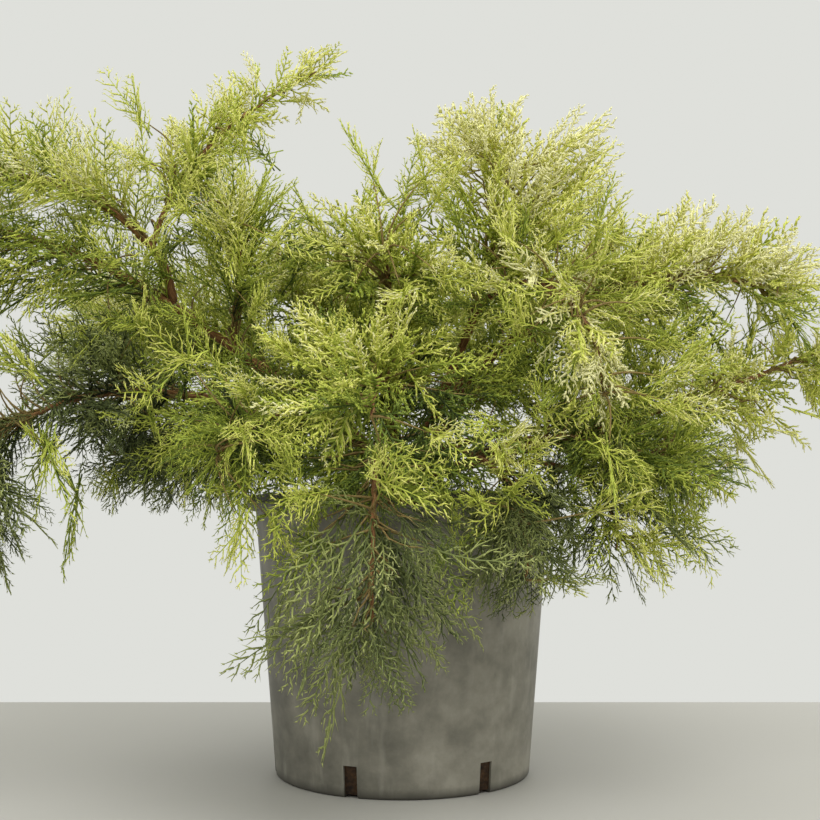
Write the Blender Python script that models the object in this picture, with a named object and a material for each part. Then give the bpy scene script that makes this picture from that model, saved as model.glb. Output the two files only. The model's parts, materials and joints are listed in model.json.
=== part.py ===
"""A spreading golden juniper in a nursery pot.

The plant is a short stem, boughs and masses of foliage. A bough is the bare wood of one limb, and a
mass of foliage is an uneven closed solid that follows the same limb on to its tip. Metres, +Z up,
the front is -Y, and the origin is the middle of the pot's flat underside.
"""

import math
from dataclasses import dataclass

import bmesh
import bpy
import numpy as np

# Pot
POT_HEIGHT = 0.262
POT_BASE_RADIUS = 0.121
POT_WALL_RADIUS = 0.140
POT_RIM_RADIUS = 0.150
POT_RIM_HEIGHT = 0.0105
POT_WALL = 0.0025
POT_FOOT_ROUND = 0.003
POT_SEGMENTS = 48

# Drainage slots, from the foot of the wall round onto the base
SLOT_COUNT = 6
SLOT_FIRST_AZIMUTH = -112.0
SLOT_WIDTH = 0.013
SLOT_HEIGHT = 0.029
SLOT_REACH_IN = 0.016

# Compost, which stands a little higher round the stem and at the wall than between them
COMPOST_TOP = 0.243
COMPOST_DISH = 0.004
COMPOST_LOW_AT = 0.75
COMPOST_MOUND_RADIUS = 0.040

# Gap between pieces that touch
CLEARANCE = 0.0004

# Stem, with a flare that fades upwards and low root ribs
STEM_TOP = 0.304
STEM_FLARE_RADIUS = 0.027
STEM_WAIST_RADIUS = 0.019
STEM_TOP_RADIUS = 0.016
STEM_FLARE_FADE = 6.0
STEM_LEAN = (-0.006, -0.002)
STEM_RIBS = 3
STEM_RIB_SWELL = 0.10
STEM_RIB_TURN = 0.6
STEM_RIB_HEIGHT = 0.015
STEM_SIDES = 12
STEM_RINGS = 6

# Limbs
LIMB_STEPS = 60
BOUGH_RINGS = 8
BOUGH_SIDES = 7

# Masses of foliage: their meshes, their shape, and how far they keep from what is near them
MASS_AROUND = 12
MASS_ALONG = 9
MASS_CORE_POINTS = 25
MASS_BLUNTNESS = 0.72
MASS_UNEVENNESS = 0.10
MASS_WAVES = 3
MASS_WAVE_NUMBERS = (1.6, 3.6)
MASS_GAP = 0.003
BOUGH_BERTH = 0.012
POT_BERTH = 0.006
RIM_BERTH = 0.026
STEM_POINTS = 8
BOUGH_POINTS = 30
CUT_STEPS = 30
LEAST_REACH = 0.04

# Turned meshes
SHARP_EDGE = math.radians(35.0)
MERGE_DISTANCE = 0.00001
TINY = 1e-6

# Colour and roughness of each finish
POT_PLASTIC = ((0.17, 0.17, 0.155, 1.0), 0.65)
COMPOST_BROWN = ((0.035, 0.024, 0.016, 1.0), 0.95)
BARK_BROWN = ((0.24, 0.13, 0.07, 1.0), 0.85)
FOLIAGE_GOLD = ((0.42, 0.47, 0.07, 1.0), 0.7)
FOLIAGE_GREEN = ((0.16, 0.25, 0.06, 1.0), 0.7)


@dataclass(frozen=True)
class Limb:
    """One limb from its foot to its tip, of which the first part is bare wood.

    It springs from the stem at a height, or from another limb at a share of that limb's length.
    Angles are in degrees. The heading turns evenly by swing, and the pitch goes from pitch to
    tip_pitch, late in the length where bend is over 1 and early where it is under 1.
    """

    name: str
    parent: str
    at: float
    azimuth: float
    swing: float
    pitch: float
    tip_pitch: float
    bend: float
    length: float
    foot_radius: float
    bare: float
    tip_radius: float = 0.002


@dataclass(frozen=True)
class Mass:
    """A mass of foliage round its limb, from one share of the limb's length to another.

    half_width lies level and across the limb, half_depth square to both. belly is where along the
    mass it is thickest, and lift moves it off the limb, upwards on a level limb.
    """

    name: str
    limb: str
    start: float
    end: float
    half_width: float
    half_depth: float
    belly: float = 0.5
    lift: float = 0.0
    gold: bool = True


# name, parent, at, azimuth, swing, pitch, tip_pitch, bend, length, foot_radius, bare
LIMBS = (
    Limb("left_upper", "stem", 0.284, 204, -6, 36, -40, 4.0, 0.55, 0.0070, 0.50),
    Limb("left_fork", "left_upper", 0.49, 208, -32, 106, -15, 0.5, 0.28, 0.0045, 0.22),
    Limb("leader", "left_fork", 0.20, 45, -35, 76, 26, 0.7, 0.25, 0.003, 0.15),
    Limb("left_inner", "left_upper", 0.37, 290, 5, 60, 88, 1.0, 0.12, 0.0035, 0.16),
    Limb("left_lower", "left_upper", 0.10, 208, -6, 17, -70, 2.4, 0.42, 0.0055, 0.41),
    Limb("left_under", "back_left", 0.12, 172, 20, 8, -15, 1.3, 0.24, 0.004, 0.36),
    Limb("left_front", "left_upper", 0.07, 246, -14, 20, -46, 2.3, 0.24, 0.0045, 0.38),
    Limb("front_middle", "stem", 0.282, 266, 0, 39, -40, 1.8, 0.31, 0.0065, 0.30),
    Limb("front_fall", "front_middle", 0.11, 264, 6, 20, -98, 1.5, 0.35, 0.0045, 0.40),
    Limb("front_crest", "front_middle", 0.17, 262, 3, 92, 20, 1.5, 0.20, 0.0045, 0.24),
    Limb("centre_crest", "back", 0.14, 150, 20, 66, 40, 0.8, 0.22, 0.005, 0.36),
    Limb("right_upper", "stem", 0.272, -32, -8, 61, 112, 3.2, 0.355, 0.0065, 0.44),
    Limb("right_arch", "right_upper", 0.42, -69, 36, 50, -100, 1.3, 0.27, 0.0035, 0.30),
    Limb("right_middle", "right_upper", 0.17, -8, 12, 54, -18, 1.2, 0.385, 0.0055, 0.32),
    Limb("right_outer", "stem", 0.276, -13, 12, 15, 26, 3.0, 0.42, 0.0065, 0.38),
    Limb("right_lower", "right_outer", 0.16, -56, 46, 24, -34, 1.2, 0.25, 0.0045, 0.34),
    Limb("right_skirt", "front_middle", 0.07, -60, 2, 12, -108, 2.2, 0.28, 0.004, 0.40),
    Limb("right_fall", "right_outer", 0.10, -40, 4, 9, -105, 2.8, 0.24, 0.0035, 0.56),
    Limb("back_left", "stem", 0.276, 152, -4, 44, -12, 1.5, 0.42, 0.0065, 0.30),
    Limb("back_left_low", "back_left", 0.14, 132, 8, 14, -45, 2.0, 0.30, 0.004, 0.40),
    Limb("back", "stem", 0.266, 98, -8, 56, -8, 1.5, 0.40, 0.0065, 0.27),
    Limb("back_fall", "back", 0.09, 88, 0, 14, -98, 1.6, 0.33, 0.004, 0.44),
    Limb("back_right", "stem", 0.270, 42, 4, 46, 0, 1.5, 0.42, 0.0065, 0.27),
    Limb("back_right_low", "back_right", 0.12, 22, 8, 12, -40, 2.0, 0.32, 0.004, 0.40),
)

# name, limb, start, end, half_width, half_depth
MASSES = (
    Mass("left_middle", "left_upper", 0.52, 1.06, 0.072, 0.058, belly=0.42, lift=-0.022),
    Mass("left_crest", "left_fork", 0.24, 1.08, 0.084, 0.056, belly=0.50),
    Mass("left_leader", "leader", 0.18, 1.03, 0.022, 0.026, belly=0.35),
    Mass("left_inner", "left_inner", 0.18, 1.25, 0.056, 0.056),
    Mass("left_shoulder", "left_lower", 0.43, 0.74, 0.074, 0.058, gold=False),
    Mass("left_fall", "left_lower", 0.755, 1.07, 0.072, 0.064, gold=False),
    Mass("left_under", "left_under", 0.38, 1.08, 0.058, 0.038, gold=False),
    Mass("left_front", "left_front", 0.40, 1.10, 0.060, 0.050, gold=False),
    Mass("front_middle", "front_middle", 0.32, 1.05, 0.100, 0.060, gold=False),
    Mass("front_shoulder", "front_fall", 0.42, 0.68, 0.090, 0.030, gold=False),
    Mass("front_fall", "front_fall", 0.69, 1.12, 0.076, 0.022, belly=0.35, gold=False),
    Mass("front_crest", "front_crest", 0.26, 1.18, 0.096, 0.066),
    Mass("centre_crest", "centre_crest", 0.38, 1.04, 0.085, 0.075),
    Mass("right_crest", "right_upper", 0.46, 1.03, 0.085, 0.108, belly=0.58),
    Mass("right_arch", "right_arch", 0.32, 0.66, 0.058, 0.036),
    Mass("right_arch_tip", "right_arch", 0.67, 1.04, 0.044, 0.026, belly=0.4),
    Mass("right_shoulder", "right_middle", 0.34, 1.09, 0.088, 0.076, belly=0.42, lift=-0.008),
    Mass("right_outer", "right_outer", 0.40, 1.02, 0.085, 0.074, belly=0.45),
    Mass("right_lower", "right_lower", 0.36, 1.06, 0.070, 0.050, gold=False),
    Mass("right_skirt", "right_skirt", 0.42, 1.04, 0.060, 0.028, belly=0.4, gold=False),
    Mass("right_fall", "right_fall", 0.58, 1.06, 0.038, 0.022, gold=False),
    Mass("back_left", "back_left", 0.32, 1.05, 0.100, 0.070),
    Mass("back_left_low", "back_left_low", 0.42, 1.08, 0.075, 0.050, gold=False),
    Mass("back_crest", "back", 0.29, 1.05, 0.105, 0.072),
    Mass("back_fall", "back_fall", 0.46, 1.06, 0.085, 0.028, gold=False),
    Mass("back_right", "back_right", 0.29, 1.05, 0.105, 0.072),
    Mass("back_right_low", "back_right_low", 0.42, 1.08, 0.075, 0.050, gold=False),
)


def clear_scene():
    """Remove every object."""
    for found in list(bpy.data.objects):
        bpy.data.objects.remove(found, do_unlink=True)


def principled(name, finish):
    """Make a material from its colour and roughness."""
    colour, roughness = finish
    material = bpy.data.materials.new(name)
    material.use_nodes = True
    shader = material.node_tree.nodes["Principled BSDF"]
    shader.inputs["Base Color"].default_value = colour
    shader.inputs["Roughness"].default_value = roughness
    shader.inputs["Metallic"].default_value = 0.0
    material.diffuse_color = colour
    return material


def add_object(name, data, material=None):
    """Put mesh or curve data into the scene as a named object."""
    made = bpy.data.objects.new(name, data)
    bpy.context.scene.collection.objects.link(made)
    if material is not None:
        data.materials.append(material)
    return made


def as_cutter(made):
    """Mark an object as a cutter, which is no part of the plant."""
    made.hide_render = True
    made.display_type = "WIRE"
    return made


def cut(piece, cutter):
    """Take the cutter's volume off a piece."""
    modifier = piece.modifiers.new("cut_" + cutter.name, "BOOLEAN")
    modifier.operation = "DIFFERENCE"
    modifier.solver = "EXACT"
    modifier.object = cutter


def mesh_from_rings(name, rings):
    """Close a stack of rings, each an array of points, into a solid with flat ends."""
    count = len(rings[0])
    points = np.vstack(rings)
    faces = [tuple(reversed(range(count)))]
    for ring in range(len(rings) - 1):
        low = ring * count
        high = low + count
        for k in range(count):
            nxt = (k + 1) % count
            faces.append((low + k, low + nxt, high + nxt, high + k))
    last = (len(rings) - 1) * count
    faces.append(tuple(last + k for k in range(count)))
    mesh = bpy.data.meshes.new(name)
    mesh.from_pydata([tuple(point) for point in points], [], faces)
    return mesh


def turned_solid(name, profile, segments):
    """Spin a profile of (radius, height) pairs, whose ends lie on the axis, about the Z axis."""
    shape = bmesh.new()
    points = [shape.verts.new((radius, 0.0, height)) for radius, height in profile]
    edges = [shape.edges.new(pair) for pair in zip(points, points[1:])]
    bmesh.ops.spin(
        shape,
        geom=points + edges,
        cent=(0.0, 0.0, 0.0),
        axis=(0.0, 0.0, 1.0),
        angle=math.tau,
        steps=segments,
        use_merge=True,
    )
    bmesh.ops.remove_doubles(shape, verts=shape.verts, dist=MERGE_DISTANCE)
    bmesh.ops.recalc_face_normals(shape, faces=shape.faces)
    mesh = bpy.data.meshes.new(name)
    shape.to_mesh(mesh)
    shape.free()
    mesh.shade_smooth()
    mesh.set_sharp_from_angle(angle=SHARP_EDGE)
    return mesh


def wall_radius(height):
    """Outer radius of the pot's wall at a height."""
    share = height / (POT_HEIGHT - POT_RIM_HEIGHT)
    return POT_BASE_RADIUS + (POT_WALL_RADIUS - POT_BASE_RADIUS) * share


def build_pot():
    """The pot: a tapering wall, a flat base, a turned-out rim and slots round the foot."""
    under_rim = POT_HEIGHT - POT_RIM_HEIGHT
    inner_foot = wall_radius(POT_WALL) - POT_WALL
    profile = (
        (0.0, 0.0),
        (POT_BASE_RADIUS - POT_FOOT_ROUND, 0.0),
        (wall_radius(POT_FOOT_ROUND), POT_FOOT_ROUND),
        (POT_WALL_RADIUS, under_rim),
        (POT_RIM_RADIUS, under_rim),
        (POT_RIM_RADIUS, POT_HEIGHT),
        (wall_radius(POT_HEIGHT) - POT_WALL, POT_HEIGHT),
        (inner_foot, POT_WALL),
        (0.0, POT_WALL),
    )
    mesh = turned_solid("pot", profile, POT_SEGMENTS)
    pot = add_object("pot", mesh, principled("moulded plastic", POT_PLASTIC))
    for number in range(SLOT_COUNT):
        cut(pot, slot_cutter(number))
    return pot


def slot_cutter(number):
    """A block through the wall and the base at one drainage slot."""
    azimuth = math.radians(SLOT_FIRST_AZIMUTH + number * 360.0 / SLOT_COUNT)
    inner = POT_BASE_RADIUS - SLOT_REACH_IN
    outer = POT_BASE_RADIUS + SLOT_REACH_IN
    shape = bmesh.new()
    bmesh.ops.create_cube(shape, size=1.0)
    bmesh.ops.scale(shape, vec=(outer - inner, SLOT_WIDTH, 2.0 * SLOT_HEIGHT), verts=shape.verts)
    mesh = bpy.data.meshes.new("slot")
    shape.to_mesh(mesh)
    shape.free()
    cutter = as_cutter(add_object("cutter_slot_%d" % (number + 1), mesh))
    middle = (inner + outer) / 2.0
    cutter.location = (middle * math.cos(azimuth), middle * math.sin(azimuth), 0.0)
    cutter.rotation_euler = (0.0, 0.0, azimuth)
    return cutter


def build_compost():
    """The compost that fills the pot, a little dished at the top."""
    floor = POT_WALL + CLEARANCE
    foot_radius = wall_radius(floor) - POT_WALL - CLEARANCE
    top_radius = wall_radius(COMPOST_TOP) - POT_WALL - CLEARANCE
    profile = (
        (0.0, floor),
        (foot_radius, floor),
        (top_radius, COMPOST_TOP),
        (top_radius * COMPOST_LOW_AT, COMPOST_TOP - COMPOST_DISH),
        (COMPOST_MOUND_RADIUS, COMPOST_TOP),
        (0.0, COMPOST_TOP),
    )
    mesh = turned_solid("compost", profile, POT_SEGMENTS // 2)
    return add_object("compost", mesh, principled("compost", COMPOST_BROWN))


def stem_axis(height):
    """Centre of the stem at a height above the pot's underside."""
    share = (height - COMPOST_TOP) / (STEM_TOP - COMPOST_TOP)
    return np.array((STEM_LEAN[0] * share, STEM_LEAN[1] * share, height))


def stem_radius(height):
    """Radius of the stem: a root flare that dies away, and an even taper above it."""
    share = (height - COMPOST_TOP) / (STEM_TOP - COMPOST_TOP)
    taper = STEM_WAIST_RADIUS + (STEM_TOP_RADIUS - STEM_WAIST_RADIUS) * share
    return taper + (STEM_FLARE_RADIUS - STEM_WAIST_RADIUS) * math.exp(-STEM_FLARE_FADE * share)


def stem_mesh(name, spare):
    """The stem as stacked rings with a few root ribs, spare wider all round."""
    angles = np.linspace(0.0, math.tau, STEM_SIDES, endpoint=False)
    rings = []
    for height in np.linspace(COMPOST_TOP + CLEARANCE, STEM_TOP, STEM_RINGS):
        swell = STEM_RIB_SWELL * math.exp((COMPOST_TOP - height) / STEM_RIB_HEIGHT)
        ribs = 1.0 + swell * np.cos(STEM_RIBS * angles + STEM_RIB_TURN)
        radius = stem_radius(height) * ribs + spare
        ring = np.empty((STEM_SIDES, 3))
        ring[:, 0] = radius * np.cos(angles)
        ring[:, 1] = radius * np.sin(angles)
        ring[:, 2] = 0.0
        rings.append(ring + stem_axis(height))
    rings[0][:, 2] -= spare
    rings[-1][:, 2] += spare
    return mesh_from_rings(name, rings)


class Course:
    """The course of one limb through space, from which its wood and masses are shaped."""

    def __init__(self, limb, foot):
        self.limb = limb
        share = (np.arange(LIMB_STEPS) + 0.5) / LIMB_STEPS
        pitch = np.radians(limb.pitch + (limb.tip_pitch - limb.pitch) * share ** limb.bend)
        heading = np.radians(limb.azimuth + limb.swing * share)
        steps = np.stack(
            (np.cos(pitch) * np.cos(heading), np.cos(pitch) * np.sin(heading), np.sin(pitch)), axis=1
        )
        self.directions = steps
        self.points = foot + np.vstack((np.zeros(3), np.cumsum(steps * limb.length / LIMB_STEPS, axis=0)))

    def place(self, share):
        """Points at shares of the length, straight on past the tip."""
        share = np.atleast_1d(share)
        knots = np.linspace(0.0, 1.0, LIMB_STEPS + 1)
        inside = np.stack([np.interp(share, knots, self.points[:, axis]) for axis in range(3)], axis=1)
        beyond = np.maximum(share - 1.0, 0.0)[:, None] * self.limb.length * self.directions[-1]
        return inside + beyond

    def frame(self, share):
        """Directions along, level across and square to the limb at shares of the length."""
        share = np.atleast_1d(share)
        knots = (np.arange(LIMB_STEPS) + 0.5) / LIMB_STEPS
        along = np.stack([np.interp(share, knots, self.directions[:, axis]) for axis in range(3)], axis=1)
        along /= np.linalg.norm(along, axis=1, keepdims=True)
        heading = np.radians(self.limb.azimuth + self.limb.swing * np.clip(share, 0.0, 1.0))
        across = np.stack((-np.sin(heading), np.cos(heading), np.zeros_like(heading)), axis=1)
        square = np.cross(along, across)
        return along, across, square

    def radius(self, share):
        """Radius of the wood at shares of the length."""
        limb = self.limb
        return limb.foot_radius + (limb.tip_radius - limb.foot_radius) * np.clip(share, 0.0, 1.0)


def lay_out_courses():
    """Place every limb on the stem or on its parent."""
    waiting = list(LIMBS)
    courses = {}
    while waiting:
        limb = waiting.pop(0)
        if limb.parent == "stem":
            courses[limb.name] = Course(limb, stem_axis(limb.at))
        elif limb.parent in courses:
            courses[limb.name] = Course(limb, courses[limb.parent].place(limb.at)[0])
        else:
            waiting.append(limb)
    return courses


def bough_mesh(name, course, spare):
    """The bare wood of a limb as tapering rings, spare wider and longer all round."""
    angles = np.linspace(0.0, math.tau, BOUGH_SIDES, endpoint=False)[:, None]
    shares = np.linspace(0.0, course.limb.bare, BOUGH_RINGS)
    _, across, square = course.frame(shares)
    centres = course.place(shares)
    centres[-1] += course.frame(shares[-1])[0][0] * spare
    rings = []
    for ring, radius in enumerate(course.radius(shares) + spare):
        spokes = across[ring] * np.cos(angles) + square[ring] * np.sin(angles)
        rings.append(centres[ring] + spokes * radius)
    return mesh_from_rings(name, rings)


def build_boughs(courses, bark):
    """Every bough, its foot fitted to the stem or to the limb that it springs from."""
    cutters = {"stem": as_cutter(add_object("cutter_stem", stem_mesh("cutter_stem", CLEARANCE)))}
    parents = {limb.parent for limb in LIMBS} - {"stem"}
    for name in sorted(parents):
        mesh = bough_mesh("cutter_" + name, courses[name], CLEARANCE)
        cutters[name] = as_cutter(add_object("cutter_" + name, mesh))
    for limb in LIMBS:
        mesh = bough_mesh("bough_" + limb.name, courses[limb.name], 0.0)
        bough = add_object("bough_" + limb.name, mesh, bark)
        cut(bough, cutters[limb.parent])
        if limb.parent != "stem":
            cut(bough, cutters["stem"])


class Body:
    """The plain shape of one mass: a ball drawn out along its limb and bent with it."""

    def __init__(self, mass, course, number):
        self.mass = mass
        self.course = course
        self.seed = number
        self.power = math.log(mass.belly) / math.log(0.5)
        share = np.linspace(0.0, 1.0, MASS_CORE_POINTS)
        self.core_profile = np.sqrt(np.clip(1.0 - (2.0 * share - 1.0) ** 2, 0.0, 1.0)) ** MASS_BLUNTNESS
        self.core_points, self.core_frame = self.spine(share ** self.power)

    def spine(self, share):
        """Points and directions of the mass's middle line at shares of its own length."""
        mass = self.mass
        along_limb = mass.start + (mass.end - mass.start) * share
        along, across, square = self.course.frame(along_limb)
        lift = mass.lift * np.sin(math.pi * np.clip(share, 0.0, 1.0))[:, None]
        return self.course.place(along_limb) + square * lift, (along, across, square)

    def unevenness(self, ball):
        """Smooth humps and hollows: waves across the ball with their own phases."""
        draw = np.random.default_rng(self.seed)
        shape = (MASS_WAVES, 3)
        waves = draw.uniform(*MASS_WAVE_NUMBERS, shape) * draw.choice((-1.0, 1.0), shape)
        phases = draw.uniform(0.0, math.tau, MASS_WAVES)
        return 1.0 + MASS_UNEVENNESS * np.sin(ball @ waves.T + phases).sum(axis=1)

    def surface(self, ball):
        """Map points of the unit ball to spine points and their offsets from the spine."""
        share = ((ball[:, 0] + 1.0) / 2.0) ** self.power
        middle, (_, across, square) = self.spine(share)
        ring = np.maximum(np.hypot(ball[:, 1], ball[:, 2]), TINY)
        swell = ring ** (MASS_BLUNTNESS - 1.0) * self.unevenness(ball)
        width = (self.mass.half_width * ball[:, 1] * swell)[:, None]
        depth = (self.mass.half_depth * ball[:, 2] * swell)[:, None]
        return middle, across * width + square * depth

    def depth_outside(self, points):
        """How far points lie outside this shape, roughly in metres and negative inside."""
        thin = min(self.mass.half_width, self.mass.half_depth)
        gaps = points[:, None, :] - self.core_points[None, :, :]
        along, across, square = self.core_frame
        a = np.einsum("pkc,kc->pk", gaps, along) / thin
        b = np.einsum("pkc,kc->pk", gaps, across) / self.mass.half_width
        c = np.einsum("pkc,kc->pk", gaps, square) / self.mass.half_depth
        spread = np.maximum(np.sqrt(a * a + b * b + c * c), TINY)
        length = np.linalg.norm(gaps, axis=2)
        return ((spread - self.core_profile[None, :]) * length / spread).min(axis=1)


def distance_to_line(points, line):
    """Least distance from each point to a line of many points."""
    return np.linalg.norm(points[:, None, :] - line[None, :, :], axis=2).min(axis=1)


def fouls_pot(points):
    """True where points come too near the pot."""
    radius = np.hypot(points[:, 0], points[:, 1])
    height = points[:, 2]
    inside = (radius < wall_radius(height) + POT_BERTH) & (height < POT_HEIGHT + POT_BERTH)
    rim_gap = np.hypot(radius - POT_WALL_RADIUS, height - (POT_HEIGHT - POT_RIM_HEIGHT))
    return inside | (rim_gap < RIM_BERTH)


def fouls_wood(points, body, courses):
    """True where points come too near the stem or a bough that isn't the mass's own."""
    heights = np.linspace(COMPOST_TOP, STEM_TOP, STEM_POINTS)
    stem_line = np.stack([stem_axis(height) for height in heights])
    fouled = distance_to_line(points, stem_line) < STEM_WAIST_RADIUS + BOUGH_BERTH
    for name, course in courses.items():
        if name == body.mass.limb:
            continue
        shares = np.linspace(0.0, course.limb.bare, BOUGH_POINTS)
        berth = course.limb.foot_radius + BOUGH_BERTH
        fouled |= distance_to_line(points, course.place(shares)) < berth
    return fouled


def cut_round_neighbours(body, bodies, courses, middle, offset):
    """Draw each surface point in along its spoke to the first thing that is in its way."""
    free = np.ones(len(middle), dtype=bool)
    reach = np.zeros(len(middle))
    for step in range(1, CUT_STEPS + 1):
        share = step / CUT_STEPS
        points = middle + offset * share
        own = body.depth_outside(points)
        fouled = fouls_pot(points) | fouls_wood(points, body, courses)
        for other in bodies:
            if other is not body:
                fouled |= other.depth_outside(points) < own + 2.0 * MASS_GAP
        free &= ~fouled
        reach = np.where(free, share, reach)
    return middle + offset * np.maximum(reach, LEAST_REACH)[:, None]


def build_masses(courses, gold, green):
    """Every mass of foliage, cut round the pot, the wood and the masses beside it."""
    bodies = [Body(mass, courses[mass.limb], number) for number, mass in enumerate(MASSES)]
    for body in bodies:
        shape = bmesh.new()
        bmesh.ops.create_uvsphere(shape, u_segments=MASS_AROUND, v_segments=MASS_ALONG, radius=1.0)
        ball = np.array([(vert.co.z, vert.co.x, vert.co.y) for vert in shape.verts])
        middle, offset = body.surface(ball)
        placed = cut_round_neighbours(body, bodies, courses, middle, offset)
        for vert, place in zip(shape.verts, placed):
            vert.co = place
        bmesh.ops.triangulate(shape, faces=shape.faces)
        bmesh.ops.recalc_face_normals(shape, faces=shape.faces)
        mesh = bpy.data.meshes.new("foliage_" + body.mass.name)
        shape.to_mesh(mesh)
        shape.free()
        mesh.shade_smooth()
        add_object("foliage_" + body.mass.name, mesh, gold if body.mass.gold else green)


def main():
    """Build the pot and the plant in it."""
    clear_scene()
    build_pot()
    build_compost()
    bark = principled("bark", BARK_BROWN)
    add_object("stem", stem_mesh("stem", 0.0), bark)
    courses = lay_out_courses()
    build_boughs(courses, bark)
    build_masses(
        courses,
        principled("gold foliage", FOLIAGE_GOLD),
        principled("green foliage", FOLIAGE_GREEN),
    )


main()
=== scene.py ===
"""The looks of a golden spreading juniper in a nursery pot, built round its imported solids.

Limbs follow the same table and formula as the solids. Each mass of foliage is replaced by twigs
that leave its limb and by flat sprays of branchlets that grow on those twigs. Metres, +Z up, the
front is -Y, and the origin is the middle of the pot's flat underside.
"""

import json
import logging
import math
from dataclasses import dataclass, field
from enum import Enum

import bpy
import numpy as np
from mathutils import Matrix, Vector
from mathutils.bvhtree import BVHTree

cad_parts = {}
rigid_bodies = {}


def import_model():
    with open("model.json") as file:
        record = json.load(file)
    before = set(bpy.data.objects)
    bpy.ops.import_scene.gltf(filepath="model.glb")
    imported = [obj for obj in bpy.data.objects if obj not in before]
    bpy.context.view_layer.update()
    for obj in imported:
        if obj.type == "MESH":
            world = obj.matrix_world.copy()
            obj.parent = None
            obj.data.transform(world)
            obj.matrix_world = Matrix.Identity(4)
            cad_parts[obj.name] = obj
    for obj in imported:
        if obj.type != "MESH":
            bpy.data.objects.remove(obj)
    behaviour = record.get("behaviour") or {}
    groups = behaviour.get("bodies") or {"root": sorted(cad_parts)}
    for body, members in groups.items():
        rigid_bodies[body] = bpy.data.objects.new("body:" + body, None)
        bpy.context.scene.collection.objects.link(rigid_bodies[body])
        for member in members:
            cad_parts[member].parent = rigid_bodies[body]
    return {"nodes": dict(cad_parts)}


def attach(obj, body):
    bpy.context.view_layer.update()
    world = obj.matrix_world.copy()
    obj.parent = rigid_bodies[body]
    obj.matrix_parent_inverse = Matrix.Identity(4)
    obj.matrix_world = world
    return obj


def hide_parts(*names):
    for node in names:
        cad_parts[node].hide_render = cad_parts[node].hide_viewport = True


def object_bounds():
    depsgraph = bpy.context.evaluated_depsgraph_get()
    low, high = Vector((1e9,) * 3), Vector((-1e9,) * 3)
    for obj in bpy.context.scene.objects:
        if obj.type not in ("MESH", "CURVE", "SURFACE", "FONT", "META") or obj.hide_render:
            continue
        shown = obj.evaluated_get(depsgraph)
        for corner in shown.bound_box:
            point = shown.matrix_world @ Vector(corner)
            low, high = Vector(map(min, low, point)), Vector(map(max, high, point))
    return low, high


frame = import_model()
CAD_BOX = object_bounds()
BODY = "root"
TINY = 1e-9

LOG = logging.getLogger("juniper")

Array = np.ndarray
Draws = np.random.Generator
Material = bpy.types.Material
Vec3 = tuple[float, float, float]

UP = np.array((0.0, 0.0, 1.0))
# The number of straight steps that a limb's course is added up from, as in the solids
LIMB_STEPS = 60
# Height of the compost round the stem, and of the stem's flat top
COMPOST_TOP = 0.243
STEM_TOP = 0.304
STEM_LEAN = (-0.006, -0.002)
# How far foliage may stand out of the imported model's box
BOX_SPARE = 0.018
# Turn from one side shoot to the next round a limb
GOLDEN_ANGLE = math.pi * (3.0 - math.sqrt(5.0))
# Points on the curve of a twig
TWIG_POINTS = 7


class Region(Enum):
    """A side of the plant, whose twigs are joined into one piece."""

    LEFT = "left"
    FRONT = "front"
    RIGHT = "right"
    BACK = "back"


class Habit(Enum):
    """How the sprays of a mass are branched."""

    THREAD = "thread"
    SCALE = "scale"


@dataclass(frozen=True)
class Limb:
    """One limb from its foot to its tip, of which the first part is bare wood.

    It springs from the stem at a height, or from another limb at a share of that limb's length.
    Angles are in degrees. The heading turns evenly by swing, and the pitch goes from pitch to
    tip_pitch, late in the length where bend is over 1 and early where it is under 1.
    """

    name: str
    parent: str
    at: float
    azimuth: float
    swing: float
    pitch: float
    tip_pitch: float
    bend: float
    length: float
    foot_radius: float
    bare: float
    region: Region
    tip_radius: float = 0.0012


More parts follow.
